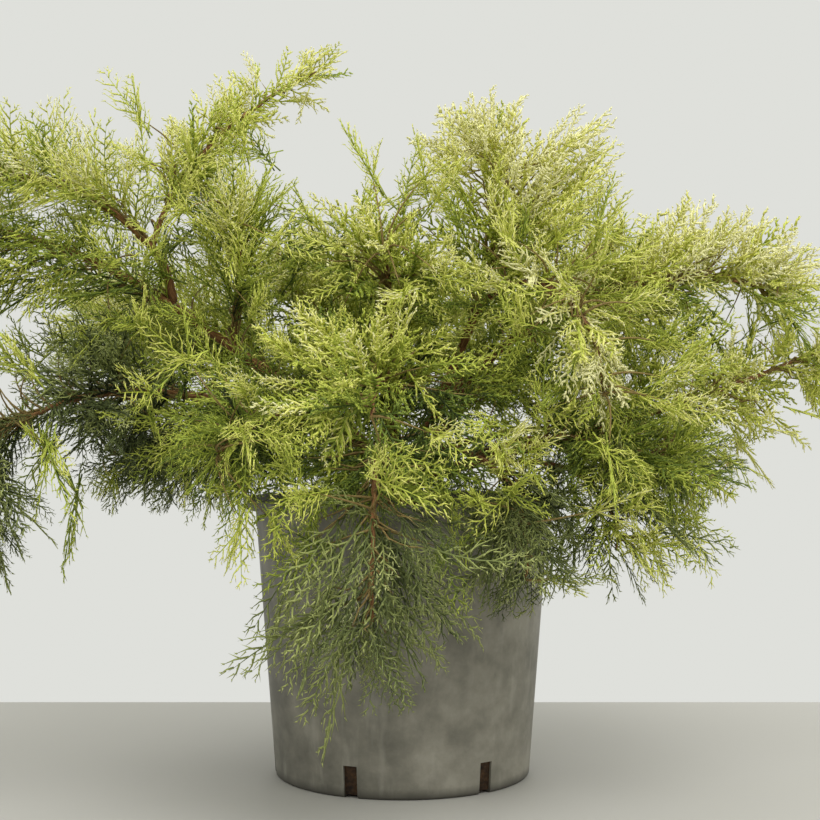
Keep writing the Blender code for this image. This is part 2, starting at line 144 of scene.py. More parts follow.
# name, parent, at, azimuth, swing, pitch, tip_pitch, bend, length, foot_radius, bare
LIMBS = (
    Limb("left_upper", "stem", 0.284, 204, -6, 36, -40, 4.0, 0.55, 0.0070, 0.50, Region.LEFT),
    Limb("left_fork", "left_upper", 0.49, 208, -32, 106, -15, 0.5, 0.28, 0.0045, 0.22, Region.LEFT),
    Limb("leader", "left_fork", 0.20, 45, -35, 76, 26, 0.7, 0.25, 0.003, 0.15, Region.LEFT),
    Limb("left_inner", "left_upper", 0.37, 290, 5, 60, 88, 1.0, 0.12, 0.0035, 0.16, Region.LEFT),
    Limb("left_lower", "left_upper", 0.10, 208, -6, 17, -70, 2.4, 0.42, 0.0055, 0.41, Region.LEFT),
    Limb("left_under", "back_left", 0.12, 172, 20, 8, -15, 1.3, 0.24, 0.004, 0.36, Region.LEFT),
    Limb("left_front", "left_upper", 0.07, 246, -14, 20, -46, 2.3, 0.24, 0.0045, 0.38, Region.LEFT),
    Limb("front_middle", "stem", 0.282, 266, 0, 39, -40, 1.8, 0.31, 0.0065, 0.30, Region.FRONT),
    Limb("front_fall", "front_middle", 0.11, 264, 6, 20, -98, 1.5, 0.35, 0.0045, 0.40, Region.FRONT),
    Limb("front_crest", "front_middle", 0.17, 262, 3, 92, 20, 1.5, 0.20, 0.0045, 0.24, Region.FRONT),
    Limb("centre_crest", "back", 0.14, 150, 20, 66, 40, 0.8, 0.22, 0.005, 0.36, Region.BACK),
    Limb("right_upper", "stem", 0.272, -32, -8, 61, 112, 3.2, 0.355, 0.0065, 0.44, Region.RIGHT),
    Limb("right_arch", "right_upper", 0.42, -69, 36, 50, -100, 1.3, 0.27, 0.0035, 0.30, Region.RIGHT),
    Limb("right_middle", "right_upper", 0.17, -8, 12, 54, -18, 1.2, 0.385, 0.0055, 0.32, Region.RIGHT),
    Limb("right_outer", "stem", 0.276, -13, 12, 15, 26, 3.0, 0.42, 0.0065, 0.38, Region.RIGHT),
    Limb("right_lower", "right_outer", 0.16, -56, 46, 24, -34, 1.2, 0.25, 0.0045, 0.34, Region.RIGHT),
    Limb("right_skirt", "front_middle", 0.07, -60, 2, 12, -108, 2.2, 0.28, 0.004, 0.40, Region.RIGHT),
    Limb("right_fall", "right_outer", 0.10, -40, 4, 9, -105, 2.8, 0.24, 0.0035, 0.56, Region.RIGHT),
    Limb("back_left", "stem", 0.276, 152, -4, 44, -12, 1.5, 0.42, 0.0065, 0.30, Region.BACK),
    Limb("back_left_low", "back_left", 0.14, 132, 8, 14, -45, 2.0, 0.30, 0.004, 0.40, Region.BACK),
    Limb("back", "stem", 0.266, 98, -8, 56, -8, 1.5, 0.40, 0.0065, 0.27, Region.BACK),
    Limb("back_fall", "back", 0.09, 88, 0, 14, -98, 1.6, 0.33, 0.004, 0.44, Region.BACK),
    Limb("back_right", "stem", 0.270, 42, 4, 46, 0, 1.5, 0.42, 0.0065, 0.27, Region.BACK),
    Limb("back_right_low", "back_right", 0.12, 22, 8, 12, -40, 2.0, 0.32, 0.004, 0.40, Region.BACK),
)


@dataclass(frozen=True)
class Mass:
    """A mass of foliage along one limb, from one share of its length to another.

    light is its mean lightness from 0, the shaded inside in painted shade, to 1, pale tips in
    painted light. cool foliage is the grey green of the low and shaded boughs, and lift turns its
    sprays up, or down below 0.
    """

    name: str
    limb: str
    start: float
    end: float
    habit: Habit
    light: float
    cool: bool = False
    lift: float = 0.0
    density: float = 1.0


MASSES = (
    Mass("left_middle", "left_upper", 0.52, 1.06, Habit.THREAD, 0.60, lift=0.05),
    Mass("left_crest", "left_fork", 0.24, 1.08, Habit.THREAD, 0.74, lift=0.25),
    Mass("left_leader", "leader", 0.18, 1.03, Habit.SCALE, 0.76, lift=0.30, density=1.6),
    Mass("left_inner", "left_inner", 0.18, 1.25, Habit.THREAD, 0.60, lift=0.25),
    Mass("left_shoulder", "left_lower", 0.43, 0.74, Habit.THREAD, 0.38, cool=True),
    Mass("left_fall", "left_lower", 0.755, 1.07, Habit.THREAD, 0.44, cool=True, lift=-0.35),
    Mass("left_under", "left_under", 0.38, 1.08, Habit.THREAD, 0.36, cool=True, lift=-0.15),
    Mass("left_front", "left_front", 0.40, 1.10, Habit.THREAD, 0.42, lift=-0.15),
    Mass("front_middle", "front_middle", 0.32, 1.05, Habit.SCALE, 0.54),
    Mass("front_shoulder", "front_fall", 0.42, 0.68, Habit.SCALE, 0.50, lift=-0.15),
    Mass("front_fall", "front_fall", 0.69, 1.12, Habit.THREAD, 0.46, cool=True, lift=-0.45),
    Mass("front_crest", "front_crest", 0.26, 1.18, Habit.SCALE, 0.62, lift=0.15),
    Mass("centre_crest", "centre_crest", 0.38, 1.04, Habit.SCALE, 0.74, lift=0.30),
    Mass("right_crest", "right_upper", 0.46, 1.03, Habit.SCALE, 0.82, lift=0.30),
    Mass("right_arch", "right_arch", 0.32, 0.66, Habit.SCALE, 0.84),
    Mass("right_arch_tip", "right_arch", 0.67, 1.04, Habit.SCALE, 0.88, lift=-0.35),
    Mass("right_shoulder", "right_middle", 0.34, 1.09, Habit.SCALE, 0.76, lift=0.15),
    Mass("right_outer", "right_outer", 0.40, 1.02, Habit.SCALE, 0.74, lift=0.10),
    Mass("right_lower", "right_lower", 0.36, 1.06, Habit.THREAD, 0.46),
    Mass("right_skirt", "right_skirt", 0.42, 1.04, Habit.THREAD, 0.46, cool=True, lift=-0.35),
    Mass("right_fall", "right_fall", 0.58, 1.06, Habit.THREAD, 0.42, cool=True, lift=-0.35),
    Mass("back_left", "back_left", 0.32, 1.05, Habit.THREAD, 0.64, lift=0.10),
    Mass("back_left_low", "back_left_low", 0.42, 1.08, Habit.THREAD, 0.42, cool=True, lift=-0.15),
    Mass("back_crest", "back", 0.29, 1.05, Habit.SCALE, 0.72, lift=0.20),
    Mass("back_fall", "back_fall", 0.46, 1.06, Habit.THREAD, 0.42, cool=True, lift=-0.35),
    Mass("back_right", "back_right", 0.29, 1.05, Habit.SCALE, 0.74, lift=0.15),
    Mass("back_right_low", "back_right_low", 0.42, 1.08, Habit.THREAD, 0.44, cool=True, lift=-0.15),
)


def unit(vectors: Array) -> Array:
    """Vectors along the last axis at length 1."""
    return vectors / np.maximum(np.linalg.norm(vectors, axis=-1, keepdims=True), TINY)


def linear(code: str) -> tuple[float, float, float, float]:
    """Turn an sRGB hex colour into linear light.

    Args:
        code: Six hex digits after a hash.

    Returns:
        Red, green, blue and an alpha of 1.
    """
    parts = np.array([int(code[k : k + 2], 16) for k in (1, 3, 5)]) / 255.0
    light = np.where(parts <= 0.04045, parts / 12.92, ((parts + 0.055) / 1.055) ** 2.4)
    return (*light.tolist(), 1.0)


def add_node(tree: bpy.types.NodeTree, kind: str, settings: dict, links: dict) -> bpy.types.Node:
    """Add a shader node with its settings and links.

    Args:
        tree: The material's node tree.
        kind: Blender's name of the node's type, after its ShaderNode.
        settings: Values by attribute, or by input name or number. Stops are a colour ramp's sRGB
            hex colours by their place from 0 to 1.
        links: The socket that feeds each input, by input name or number.

    Returns:
        The new node.
    """
    node = tree.nodes.new("ShaderNode" + kind)
    for name, value in settings.items():
        if name == "stops":
            elements = node.color_ramp.elements
            while len(elements) < len(value):
                elements.new(1.0)
            for element, place in zip(elements, sorted(value)):
                element.position = place
                element.color = linear(value[place])
        elif isinstance(name, int) or name in node.inputs:
            node.inputs[name].default_value = value
        else:
            setattr(node, name, value)
    for name, socket in links.items():
        tree.links.new(socket, node.inputs[name])
    return node


def blank_material(name: str, **values: float) -> tuple[Material, bpy.types.Node]:
    """A material with a Principled shader.

    Args:
        name: The material's name.
        **values: Input values by name, with underscores for spaces.

    Returns:
        The material and its shader node.
    """
    material = bpy.data.materials.new(name)
    material.use_nodes = True
    shader = material.node_tree.nodes["Principled BSDF"]
    for key, value in values.items():
        shader.inputs[key.replace("_", " ")].default_value = value
    return material, shader


@dataclass(frozen=True)
class WeatheredPolypropylene:
    """Injection-moulded black polypropylene, greyed and chalky from weather, with lime.

    Clouds of about 45 mm are lightened to the right by painted light, at painted_light_drift for
    each metre. Lime has run down in streaks of about 14 by 70 mm. The foot darkens towards the
    bottom up to foot_darkening_top, and the moulding's grain is about 1 mm, as fine as shows.
    """

    dark: str = "#5f5d53"
    middle: str = "#7a776b"
    light: str = "#989487"
    lime: str = "#b9b6aa"
    foot_darkening: str = "#3b3932"
    cloud_scale: float = 22.0
    painted_light_drift: float = 0.9
    streak_scale: Vec3 = (70.0, 70.0, 14.0)
    foot_darkening_bottom: float = 0.002
    foot_darkening_top: float = 0.010
    grain_scale: float = 900.0
    grain_depth: float = 0.0004

    def material(self) -> Material:
        """Mottled grey with painted light that makes it lighter on the right, lime streaks and a darker foot.

        Returns:
            The material, whose patterns lie on the object's own coordinates.
        """
        material, shader = blank_material("weathered polypropylene", Roughness=0.55, IOR=1.49)
        tree = material.node_tree
        place = add_node(tree, "TexCoord", {}, {}).outputs["Object"]
        split = add_node(tree, "SeparateXYZ", {}, {"Vector": place})
        noise = {"Scale": self.cloud_scale, "Detail": 6.0, "Roughness": 0.62}
        cloud = add_node(tree, "TexNoise", noise, {"Vector": place})
        # Painted light: the mottle is lightened towards +X, the right-hand side, as if lit from there
        sides = {0: split.outputs["X"], 2: cloud.outputs["Fac"]}
        painted_light_drift = add_node(tree, "Math", {"operation": "MULTIPLY_ADD", 1: self.painted_light_drift}, sides)
        greys = {"stops": {0.30: self.dark, 0.50: self.middle, 0.72: self.light}}
        colour = add_node(tree, "ValToRGB", greys, {"Fac": painted_light_drift.outputs["Value"]})
        flat = add_node(tree, "Mapping", {"Scale": self.streak_scale}, {"Vector": place})
        noise = {"Scale": 1.0, "Detail": 5.0}
        streaks = add_node(tree, "TexNoise", noise, {"Vector": flat.outputs["Vector"]})
        share = {"stops": {0.56: "#000000", 0.74: "#8a8a8a"}}
        chalk = add_node(tree, "ValToRGB", share, {"Fac": streaks.outputs["Fac"]})
        layers = {"Factor": chalk.outputs["Color"], 6: colour.outputs["Color"]}
        limed = add_node(tree, "Mix", {"data_type": "RGBA", 7: linear(self.lime)}, layers)
        # The colour darkens below 10 mm up the foot, most under 2 mm
        rise = {"From Min": self.foot_darkening_bottom, "From Max": self.foot_darkening_top, "To Min": 0.85, "To Max": 0.0}
        foot = add_node(tree, "MapRange", rise, {"Value": split.outputs["Z"]})
        layers = {"Factor": foot.outputs["Result"], 6: limed.outputs[2]}
        foot_darkening = add_node(tree, "Mix", {"data_type": "RGBA", 7: linear(self.foot_darkening)}, layers)
        tree.links.new(foot_darkening.outputs[2], shader.inputs["Base Color"])
        grain = add_node(tree, "TexNoise", {"Scale": self.grain_scale, "Detail": 2.0}, {"Vector": place})
        relief = {"Strength": 0.12, "Distance": self.grain_depth}
        bump = add_node(tree, "Bump", relief, {"Height": grain.outputs["Fac"]})
        tree.links.new(bump.outputs["Normal"], shader.inputs["Normal"])
        return material


@dataclass(frozen=True)
class PottingCompost:
    """Bark-and-peat compost: dark crumbs of about 4 mm with a few lighter chips of about 7 mm."""

    crumbs: str = "#2a1d12"
    chips: str = "#5d4228"
    crumb_scale: float = 260.0
    chip_scale: float = 140.0
    crumb_depth: float = 0.002

    def material(self) -> Material:
        """Dark brown crumbs with paler chips.

        Returns:
            The material.
        """
        material, shader = blank_material("potting compost", Roughness=0.95)
        tree = material.node_tree
        place = add_node(tree, "TexCoord", {}, {}).outputs["Object"]
        cells = add_node(tree, "TexVoronoi", {"Scale": self.crumb_scale}, {"Vector": place})
        chips = add_node(tree, "TexNoise", {"Scale": self.chip_scale, "Detail": 3.0}, {"Vector": place})
        browns = {"stops": {0.35: self.crumbs, 0.72: self.chips}}
        colour = add_node(tree, "ValToRGB", browns, {"Fac": chips.outputs["Fac"]})
        tree.links.new(colour.outputs["Color"], shader.inputs["Base Color"])
        relief = {"Strength": 0.7, "Distance": self.crumb_depth}
        bump = add_node(tree, "Bump", relief, {"Height": cells.outputs["Distance"]})
        tree.links.new(bump.outputs["Normal"], shader.inputs["Normal"])
        return material


@dataclass(frozen=True)
class JuniperBark:
    """Juniper bark, which peels in thin lengthwise strips from grey brown to orange brown."""

    name: str = "peeling juniper bark"
    furrow: str = "#4a2f1a"
    strip: str = "#80572f"
    edge: str = "#b98d5c"
    strip_width: float = 0.0016
    strip_length: float = 0.022
    strip_depth: float = 0.0008

    def material(self) -> Material:
        """Strips along the limb, read from the piece's own map of metres round and along.

        Returns:
            The material.
        """
        material, shader = blank_material(self.name, Roughness=0.85)
        tree = material.node_tree
        lay = add_node(tree, "UVMap", {"uv_map": "metres"}, {})
        scale = (1.0 / self.strip_width, 1.0 / self.strip_length, 1.0)
        spread = add_node(tree, "Mapping", {"Scale": scale}, {"Vector": lay.outputs["UV"]})
        noise = {"Scale": 1.0, "Detail": 5.0, "Roughness": 0.6}
        strips = add_node(tree, "TexNoise", noise, {"Vector": spread.outputs["Vector"]})
        browns = {"stops": {0.34: self.furrow, 0.50: self.strip, 0.68: self.edge}}
        colour = add_node(tree, "ValToRGB", browns, {"Fac": strips.outputs["Fac"]})
        tree.links.new(colour.outputs["Color"], shader.inputs["Base Color"])
        relief = {"Strength": 0.6, "Distance": self.strip_depth}
        bump = add_node(tree, "Bump", relief, {"Height": strips.outputs["Fac"]})
        tree.links.new(bump.outputs["Normal"], shader.inputs["Normal"])
        return material


@dataclass(frozen=True)
class ScaleLeaf:
    """One plain tint of the waxy scale leaves, from pale new tips in painted light to painted shade inside.
    """

    name: str
    colour: str

    def material(self) -> Material:
        """A plain unlinked colour with a soft waxy gloss.

        Returns:
            The material.
        """
        material, shader = blank_material(self.name, Roughness=0.55, Specular_IOR_Level=0.35)
        shader.inputs["Base Color"].default_value = linear(self.colour)
        return material


# Steps from painted light on open, upward sprays to painted shade inside, in gold and in grey green
GOLD_TINTS = ("#f6f3b8", "#e9e884", "#d3d962", "#b6c24c", "#95a53f", "#718434", "#4c5d25", "#2d3915")
COOL_TINTS = ("#e2e5b0", "#cbd08c", "#b1b870", "#959e5a", "#79834a", "#5f6a3a", "#454f29", "#2b3319")


@dataclass
class Piece:
    """A piece to be: its name, mesh arrays, materials, slot and the solids that it replaces.

    tints holds the material's number for each face, and uv the metres round and along for each point.
    """

    name: str
    points: Array
    faces: Array
    materials: list[Material]
    slot: str
    covers: tuple[str, ...] = ()
    tints: Array | None = None
    uv: Array | None = None

    def build(self) -> bpy.types.Object:
        """Make it a mesh object at the origin that rides on the plant's body.

        Returns:
            The object.
        """
        mesh = bpy.data.meshes.new(self.name)
        corners = self.faces.shape[1]
        mesh.vertices.add(len(self.points))
        mesh.vertices.foreach_set("co", self.points.astype(np.float32).ravel())
        mesh.loops.add(self.faces.size)
        mesh.loops.foreach_set("vertex_index", self.faces.astype(np.int32).ravel())
        mesh.polygons.add(len(self.faces))
        mesh.polygons.foreach_set("loop_start", np.arange(0, self.faces.size, corners, dtype=np.int32))
        if self.tints is not None:
            mesh.polygons.foreach_set("material_index", self.tints.astype(np.int32))
        mesh.update(calc_edges=True)
        if self.uv is not None:
            layer = mesh.uv_layers.new(name="metres")
            layer.data.foreach_set("uv", self.uv[self.faces.ravel()].astype(np.float32).ravel())
        mesh.shade_smooth()
        for material in self.materials:
            mesh.materials.append(material)
        made = bpy.data.objects.new(self.name, mesh)
        bpy.context.scene.collection.objects.link(made)
        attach(made, BODY)
        if self.covers:
            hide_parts(*self.covers)
        LOG.info("%s: %d faces", self.name, len(self.faces))
        return made


def join_rings(rings: int, sides: int) -> Array:
    """Triangles of the wall between rings whose corners follow each other.

    Args:
        rings: The number of rings.
        sides: Corners of a ring.

    Returns:
        Triangles, shape (2 * sides * (rings - 1), 3).
    """
    corner = np.arange(sides)
    levels = (np.arange(rings - 1) * sides)[:, None]
    low, high = levels + corner, levels + (corner + 1) % sides
    return np.stack((low, high, high + sides, low, high + sides, low + sides), axis=-1).reshape(-1, 3)


def close_rings(rings: Array, first: float, last: float) -> tuple[Array, Array]:
    """A closed mesh of rings round the upright axis, with a centre point at each end.

    Args:
        rings: Points, shape (rings, corners, 3), from the underside outwards and up.
        first: Height of the first centre point.
        last: Height of the last one.

    Returns:
        Points and triangles.
    """
    count, sides = rings.shape[:2]
    corner = np.arange(sides)
    following = (corner + 1) % sides
    end = (count - 1) * sides
    under = np.stack((following, corner, np.full(sides, count * sides)), axis=-1)
    over = np.stack((end + corner, end + following, np.full(sides, count * sides + 1)), axis=-1)
    points = np.vstack((rings.reshape(-1, 3), (0.0, 0.0, first), (0.0, 0.0, last)))
    return points, np.vstack((join_rings(count, sides), under, over))


def tubes(paths: Array, radii: Array, sides: int) -> tuple[Array, Array]:
    """Tapering tubes round many paths at once, each closed at its foot and ending in a point.

    A ring's corner is its centre plus the radius times (cos a * side + sin a * lift), where side
    is square to the path and lift is square to both. The last point of a path is its tip.

    Args:
        paths: Points, shape (tubes, rings + 1, 3).
        radii: Radii, shape (tubes, rings).
        sides: Corners of a ring.

    Returns:
        Points, shape (tubes, corners, 3), and the triangles of one tube, shape (triangles, 3).
    """
    count, rings = radii.shape
    tangents = unit(np.gradient(paths, axis=1)[:, :rings])
    mean = unit(paths[:, -1] - paths[:, 0])
    helper = np.where(np.abs(mean[:, 2:]) > 0.9, (1.0, 0.0, 0.0), UP)[:, None, :]
    side = unit(np.cross(helper, tangents))
    lift = np.cross(tangents, side)
    angles = np.linspace(0.0, math.tau, sides, endpoint=False)[None, None, :, None]
    spokes = np.cos(angles) * side[:, :, None, :] + np.sin(angles) * lift[:, :, None, :]
    walls = paths[:, :rings, None, :] + spokes * radii[:, :, None, None]
    points = np.concatenate((walls.reshape(count, rings * sides, 3), paths[:, -1:]), axis=1)
    corner = np.arange(sides)
    last = (rings - 1) * sides
    tip = np.stack((last + corner, last + (corner + 1) % sides, np.full(sides, rings * sides)), axis=-1)
    fan = np.arange(1, sides - 1)
    foot = np.stack((np.zeros_like(fan), fan + 1, fan), axis=-1)
    return points, np.concatenate((join_rings(rings, sides), tip, foot)).astype(np.int64)


def spread_faces(count: int, faces: Array, corners: int) -> Array:
    """The triangles of many like shapes whose points follow each other.

    Args:
        count: The number of shapes.
        faces: Triangles of one shape.
        corners: Points of one shape.

    Returns:
        All triangles, shape (count * triangles, 3).
    """
    return (np.arange(count)[:, None, None] * corners + faces[None]).reshape(-1, 3)


def curve_between(feet: Array, bends: Array, ends: Array) -> Array:
    """Curves (1 - t)^2 foot + 2 t (1 - t) bend + t^2 end.

    Args:
        feet: Where they start, shape (count, 3).
        bends: Where they head for first.
        ends: Where they end.

    Returns:
        Points, shape (count, TWIG_POINTS, 3).
    """
    t = np.linspace(0.0, 1.0, TWIG_POINTS)[None, :, None]
    return (1 - t) ** 2 * feet[:, None] + 2 * t * (1 - t) * bends[:, None] + t**2 * ends[:, None]


class Course:
    """The course of one limb through space, added up from short straight steps."""

    def __init__(self, limb: Limb, foot: Array) -> None:
        """Work out the points and directions.

        The pitch is pitch + (tip_pitch - pitch) * share ** bend, and the heading is
        azimuth + swing * share.

        Args:
            limb: The limb's sizes.
            foot: Where it starts.
        """
        self.limb = limb
        share = (np.arange(LIMB_STEPS) + 0.5) / LIMB_STEPS
        pitch = np.radians(limb.pitch + (limb.tip_pitch - limb.pitch) * share**limb.bend)
        heading = np.radians(limb.azimuth + limb.swing * share)
        level = np.cos(pitch)
        self.directions = np.stack(
            (level * np.cos(heading), level * np.sin(heading), np.sin(pitch)), axis=1
        )
        steps = np.cumsum(self.directions * limb.length / LIMB_STEPS, axis=0)
        self.points = foot + np.vstack((np.zeros(3), steps))

    def place(self, share: Array | float) -> Array:
        """Points at shares of the length, straight on past the tip.

        Args:
            share: One share or many.

        Returns:
            Points, shape (count, 3).
        """
        share = np.atleast_1d(share)
        knots = np.linspace(0.0, 1.0, LIMB_STEPS + 1)
        inside = np.stack([np.interp(share, knots, self.points[:, axis]) for axis in range(3)], axis=1)
        beyond = np.maximum(share - 1.0, 0.0)[:, None] * self.limb.length * self.directions[-1]
        return inside + beyond

    def along(self, share: Array | float) -> Array:
        """Directions at shares of the length.

        Args:
            share: One share or many.

        Returns:
            Unit vectors, shape (count, 3).
        """
        share = np.atleast_1d(share)
        knots = (np.arange(LIMB_STEPS) + 0.5) / LIMB_STEPS
        parts = [np.interp(share, knots, self.directions[:, axis]) for axis in range(3)]
        return unit(np.stack(parts, axis=1))


def stem_axis(height: float) -> Array:
    """Centre of the stem at a height above the pot's underside."""
    share = (height - COMPOST_TOP) / (STEM_TOP - COMPOST_TOP)
    return np.array((STEM_LEAN[0] * share, STEM_LEAN[1] * share, height))


def lay_out_courses() -> dict[str, Course]:
    """Place every limb on the stem or on its parent.

    Returns:
        The courses by limb name.
    """
    waiting = list(LIMBS)
    courses: dict[str, Course] = {}
    while waiting:
        limb = waiting.pop(0)
        if limb.parent == "stem":
            courses[limb.name] = Course(limb, stem_axis(limb.at))
        elif limb.parent in courses:
            courses[limb.name] = Course(limb, courses[limb.parent].place(limb.at)[0])
        else:
            waiting.append(limb)
    return courses


@dataclass(frozen=True)
class NurseryPot:
    """The moulded pot: a tapering wall, a rolled rim band, a flat base and drainage slots."""

    height: float = 0.262
    base_radius: float = 0.121
    wall_radius: float = 0.140
    rim_radius: float = 0.150
    rim_height: float = 0.0105
    rim_bevel: float = 0.0012
    lip_round: float = 0.0022
    lip_fall: float = 0.0015
    lip_width: float = 0.001
    wall: float = 0.0025
    foot_round: float = 0.003
    slot_count: int = 6
    slot_first_azimuth: float = -112.0
    slot_width: float = 0.013
    slot_height: float = 0.029
    slot_reach: float = 0.016
    segments: int = 160
    crease_angle: float = 40.0
    finish: WeatheredPolypropylene = field(default_factory=WeatheredPolypropylene)

    def profile(self) -> Array:
        """Radius and height pairs from the edge of the underside, up the outside and back inside.

        Returns:
            The pairs, shape (count, 2).
        """
        under = self.height - self.rim_height
        r0, r1, edge, bevel = self.base_radius, self.wall_radius, self.rim_radius, self.rim_bevel
        turn, lip = self.foot_round, self.lip_round
        arc = np.linspace(0.0, math.pi / 2.0, 5)
        rise = np.linspace(0.0, 1.0, 24)[1:]
        foot = np.stack((r0 - turn + turn * np.sin(arc), turn * (1.0 - np.cos(arc))), axis=1)
        wall = np.stack((r0 + (r1 - r0) * rise, turn + (under - turn) * rise), axis=1)
        band = ((edge - bevel, under), (edge, under + bevel), (edge, self.height - lip))
        top = np.stack((edge - lip + lip * np.cos(arc), self.height - lip + lip * np.sin(arc)), axis=1)
        inner = r1 - self.wall
        mouth = ((inner + self.lip_width, self.height), (inner, self.height - self.lip_fall))
        return np.vstack((foot, wall, band, top, mouth, (r0 - self.wall, self.wall)))

    def build(self) -> None:
        """Turn the profile round the axis, cut the slots and dress the pot."""
        profile = self.profile()
        angles = np.linspace(0.0, math.tau, self.segments, endpoint=False)
        rings = np.empty((len(profile), self.segments, 3))
        rings[:, :, :2] = profile[:, None, :1] * np.stack((np.cos(angles), np.sin(angles)), axis=1)
        rings[:, :, 2] = profile[:, 1:]
        points, faces = close_rings(rings, 0.0, self.wall)
        pot = Piece("nursery_pot", points, faces, [self.finish.material()], "pot_plastic", ("pot",)).build()
        self.cut_slots(pot)
        pot.data.set_sharp_from_angle(angle=math.radians(self.crease_angle))

    def cut_slots(self, pot: bpy.types.Object) -> None:
        """Cut the drainage slots through the wall and the base.

        Args:
            pot: The turned pot, whose mesh is changed.
        """
        ends = (self.base_radius - self.slot_reach, self.base_radius + self.slot_reach)
        corners = np.array([(x, y, z) for x in ends for y in (-0.5, 0.5) for z in (-1.0, 1.0)])
        corners *= (1.0, self.slot_width, self.slot_height)
        faces = [(0, 1, 3, 2), (4, 6, 7, 5), (0, 4, 5, 1), (2, 3, 7, 6), (0, 2, 6, 4), (1, 5, 7, 3)]
        cutters = []
        for number in range(self.slot_count):
            azimuth = math.radians(self.slot_first_azimuth + number * 360.0 / self.slot_count)
            cosine, sine = math.cos(azimuth), math.sin(azimuth)
            turn = np.array(((cosine, sine, 0.0), (-sine, cosine, 0.0), UP))
            mesh = bpy.data.meshes.new("slot")
            mesh.from_pydata((corners @ turn).tolist(), [], faces)
            cutter = bpy.data.objects.new("slot_cutter_%d" % number, mesh)
            bpy.context.scene.collection.objects.link(cutter)
            cutters.append(cutter)
            modifier = pot.modifiers.new("slot", "BOOLEAN")
            modifier.operation = "DIFFERENCE"
            modifier.solver = "EXACT"
            modifier.object = cutter
        bpy.context.view_layer.update()
        cut = bpy.data.meshes.new_from_object(pot.evaluated_get(bpy.context.evaluated_depsgraph_get()))
        pot.modifiers.clear()
        pot.data = cut
        for cutter in cutters:
            bpy.data.objects.remove(cutter, do_unlink=True)
        LOG.info("nursery_pot with its slots: %d faces", len(pot.data.polygons))


@dataclass(frozen=True)
class Clearance:
    """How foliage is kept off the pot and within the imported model's box."""

    off_wall: float = 0.0015
    under_rim: float = 0.004
    over_rim: float = 0.001
    wall_depth: float = 0.008
    mouth_share: float = 0.8
    off_compost: float = 0.003
    off_ground: float = 0.004

    def lay_on_pot(self, points: Array) -> Array:
        """Move points that are inside the pot out onto its wall or rim, or up onto the compost.

        Args:
            points: Points of the foliage.

        Returns:
            The points, clear of the pot.
        """
        pot = NurseryPot()
        radius = np.maximum(np.hypot(points[:, 0], points[:, 1]), TINY)
        height = points[:, 2]
        under = pot.height - pot.rim_height
        wall = pot.base_radius + (pot.wall_radius - pot.base_radius) * height / under
        outer = np.where(height > under - self.under_rim, pot.rim_radius, wall) + self.off_wall
        mouth = (pot.wall_radius - self.wall_depth) * self.mouth_share
        caught = (radius < outer) & (radius > mouth) & (height < pot.height + self.over_rim)
        pushed = points.copy()
        pushed[:, :2] *= np.where(caught, outer / radius, 1.0)[:, None]
        bed = COMPOST_TOP + self.off_compost
        sunk = (radius <= mouth) & (height < bed)
        pushed[:, 2] = np.where(sunk, bed, np.maximum(pushed[:, 2], self.off_ground))
        return pushed

    @staticmethod
    def ease_into_box(points: Array) -> Array:
        """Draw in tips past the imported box: an excess e becomes spare * (1 - exp(-e / spare)).

        Args:
            points: Points of the foliage.

        Returns:
            The points, none of them further out than the box plus BOX_SPARE.
        """
        low, high = (np.array(corner) for corner in CAD_BOX)
        over = np.maximum(points - high, 0.0)
        under = np.maximum(low - points, 0.0)
        eased = BOX_SPARE * (np.exp(-under / BOX_SPARE) - np.exp(-over / BOX_SPARE))
        return np.clip(points, low, high) + eased


@dataclass(frozen=True)
class CompostFill:
    """The compost in the pot, with a crumbly top that is dished towards the wall."""

    radius: float = 0.1358
    foot_radius: float = 0.1182
    foot: float = 0.0029
    crumb: float = 0.0016
    dish: float = 0.004
    dish_start: float = 0.3
    top_edge: float = COMPOST_TOP - 0.0012
    top_middle: float = COMPOST_TOP - 0.001
    rings: int = 60
    segments: int = 180
    seed: int = 5

    def build(self) -> None:
        """A polar grid whose top height is the compost's level plus smooth random crumbs."""
        draw = np.random.default_rng(self.seed)
        share = np.linspace(0.0, 1.0, self.rings + 1)[1:]
        angles = np.linspace(0.0, math.tau, self.segments, endpoint=False)
        radius = np.concatenate((share * self.radius, (self.foot_radius,)))
        grid = np.empty((len(radius), self.segments, 3))
        grid[:, :, :2] = radius[:, None, None] * np.stack((np.cos(angles), np.sin(angles)), axis=1)
        rough = draw.normal(0.0, 1.0, (self.rings, self.segments))
        rough = (rough + np.roll(rough, 1, axis=1) + np.roll(rough, -1, axis=1)) / 3.0
        sunk = np.clip((share - self.dish_start) / (1.0 - self.dish_start), 0.0, 1.0)
        dish = self.dish * np.sin(math.pi * sunk)
        grid[:-1, :, 2] = self.top_edge - dish[:, None] + rough * self.crumb
        grid[-1, :, 2] = self.foot
        # The grid starts at the top, so its triangles are turned over to face out
        points, faces = close_rings(grid, self.top_middle, self.foot)
        finish = [PottingCompost().material()]
        Piece("compost_fill", points, faces[:, ::-1], finish, "compost", ("compost",)).build()


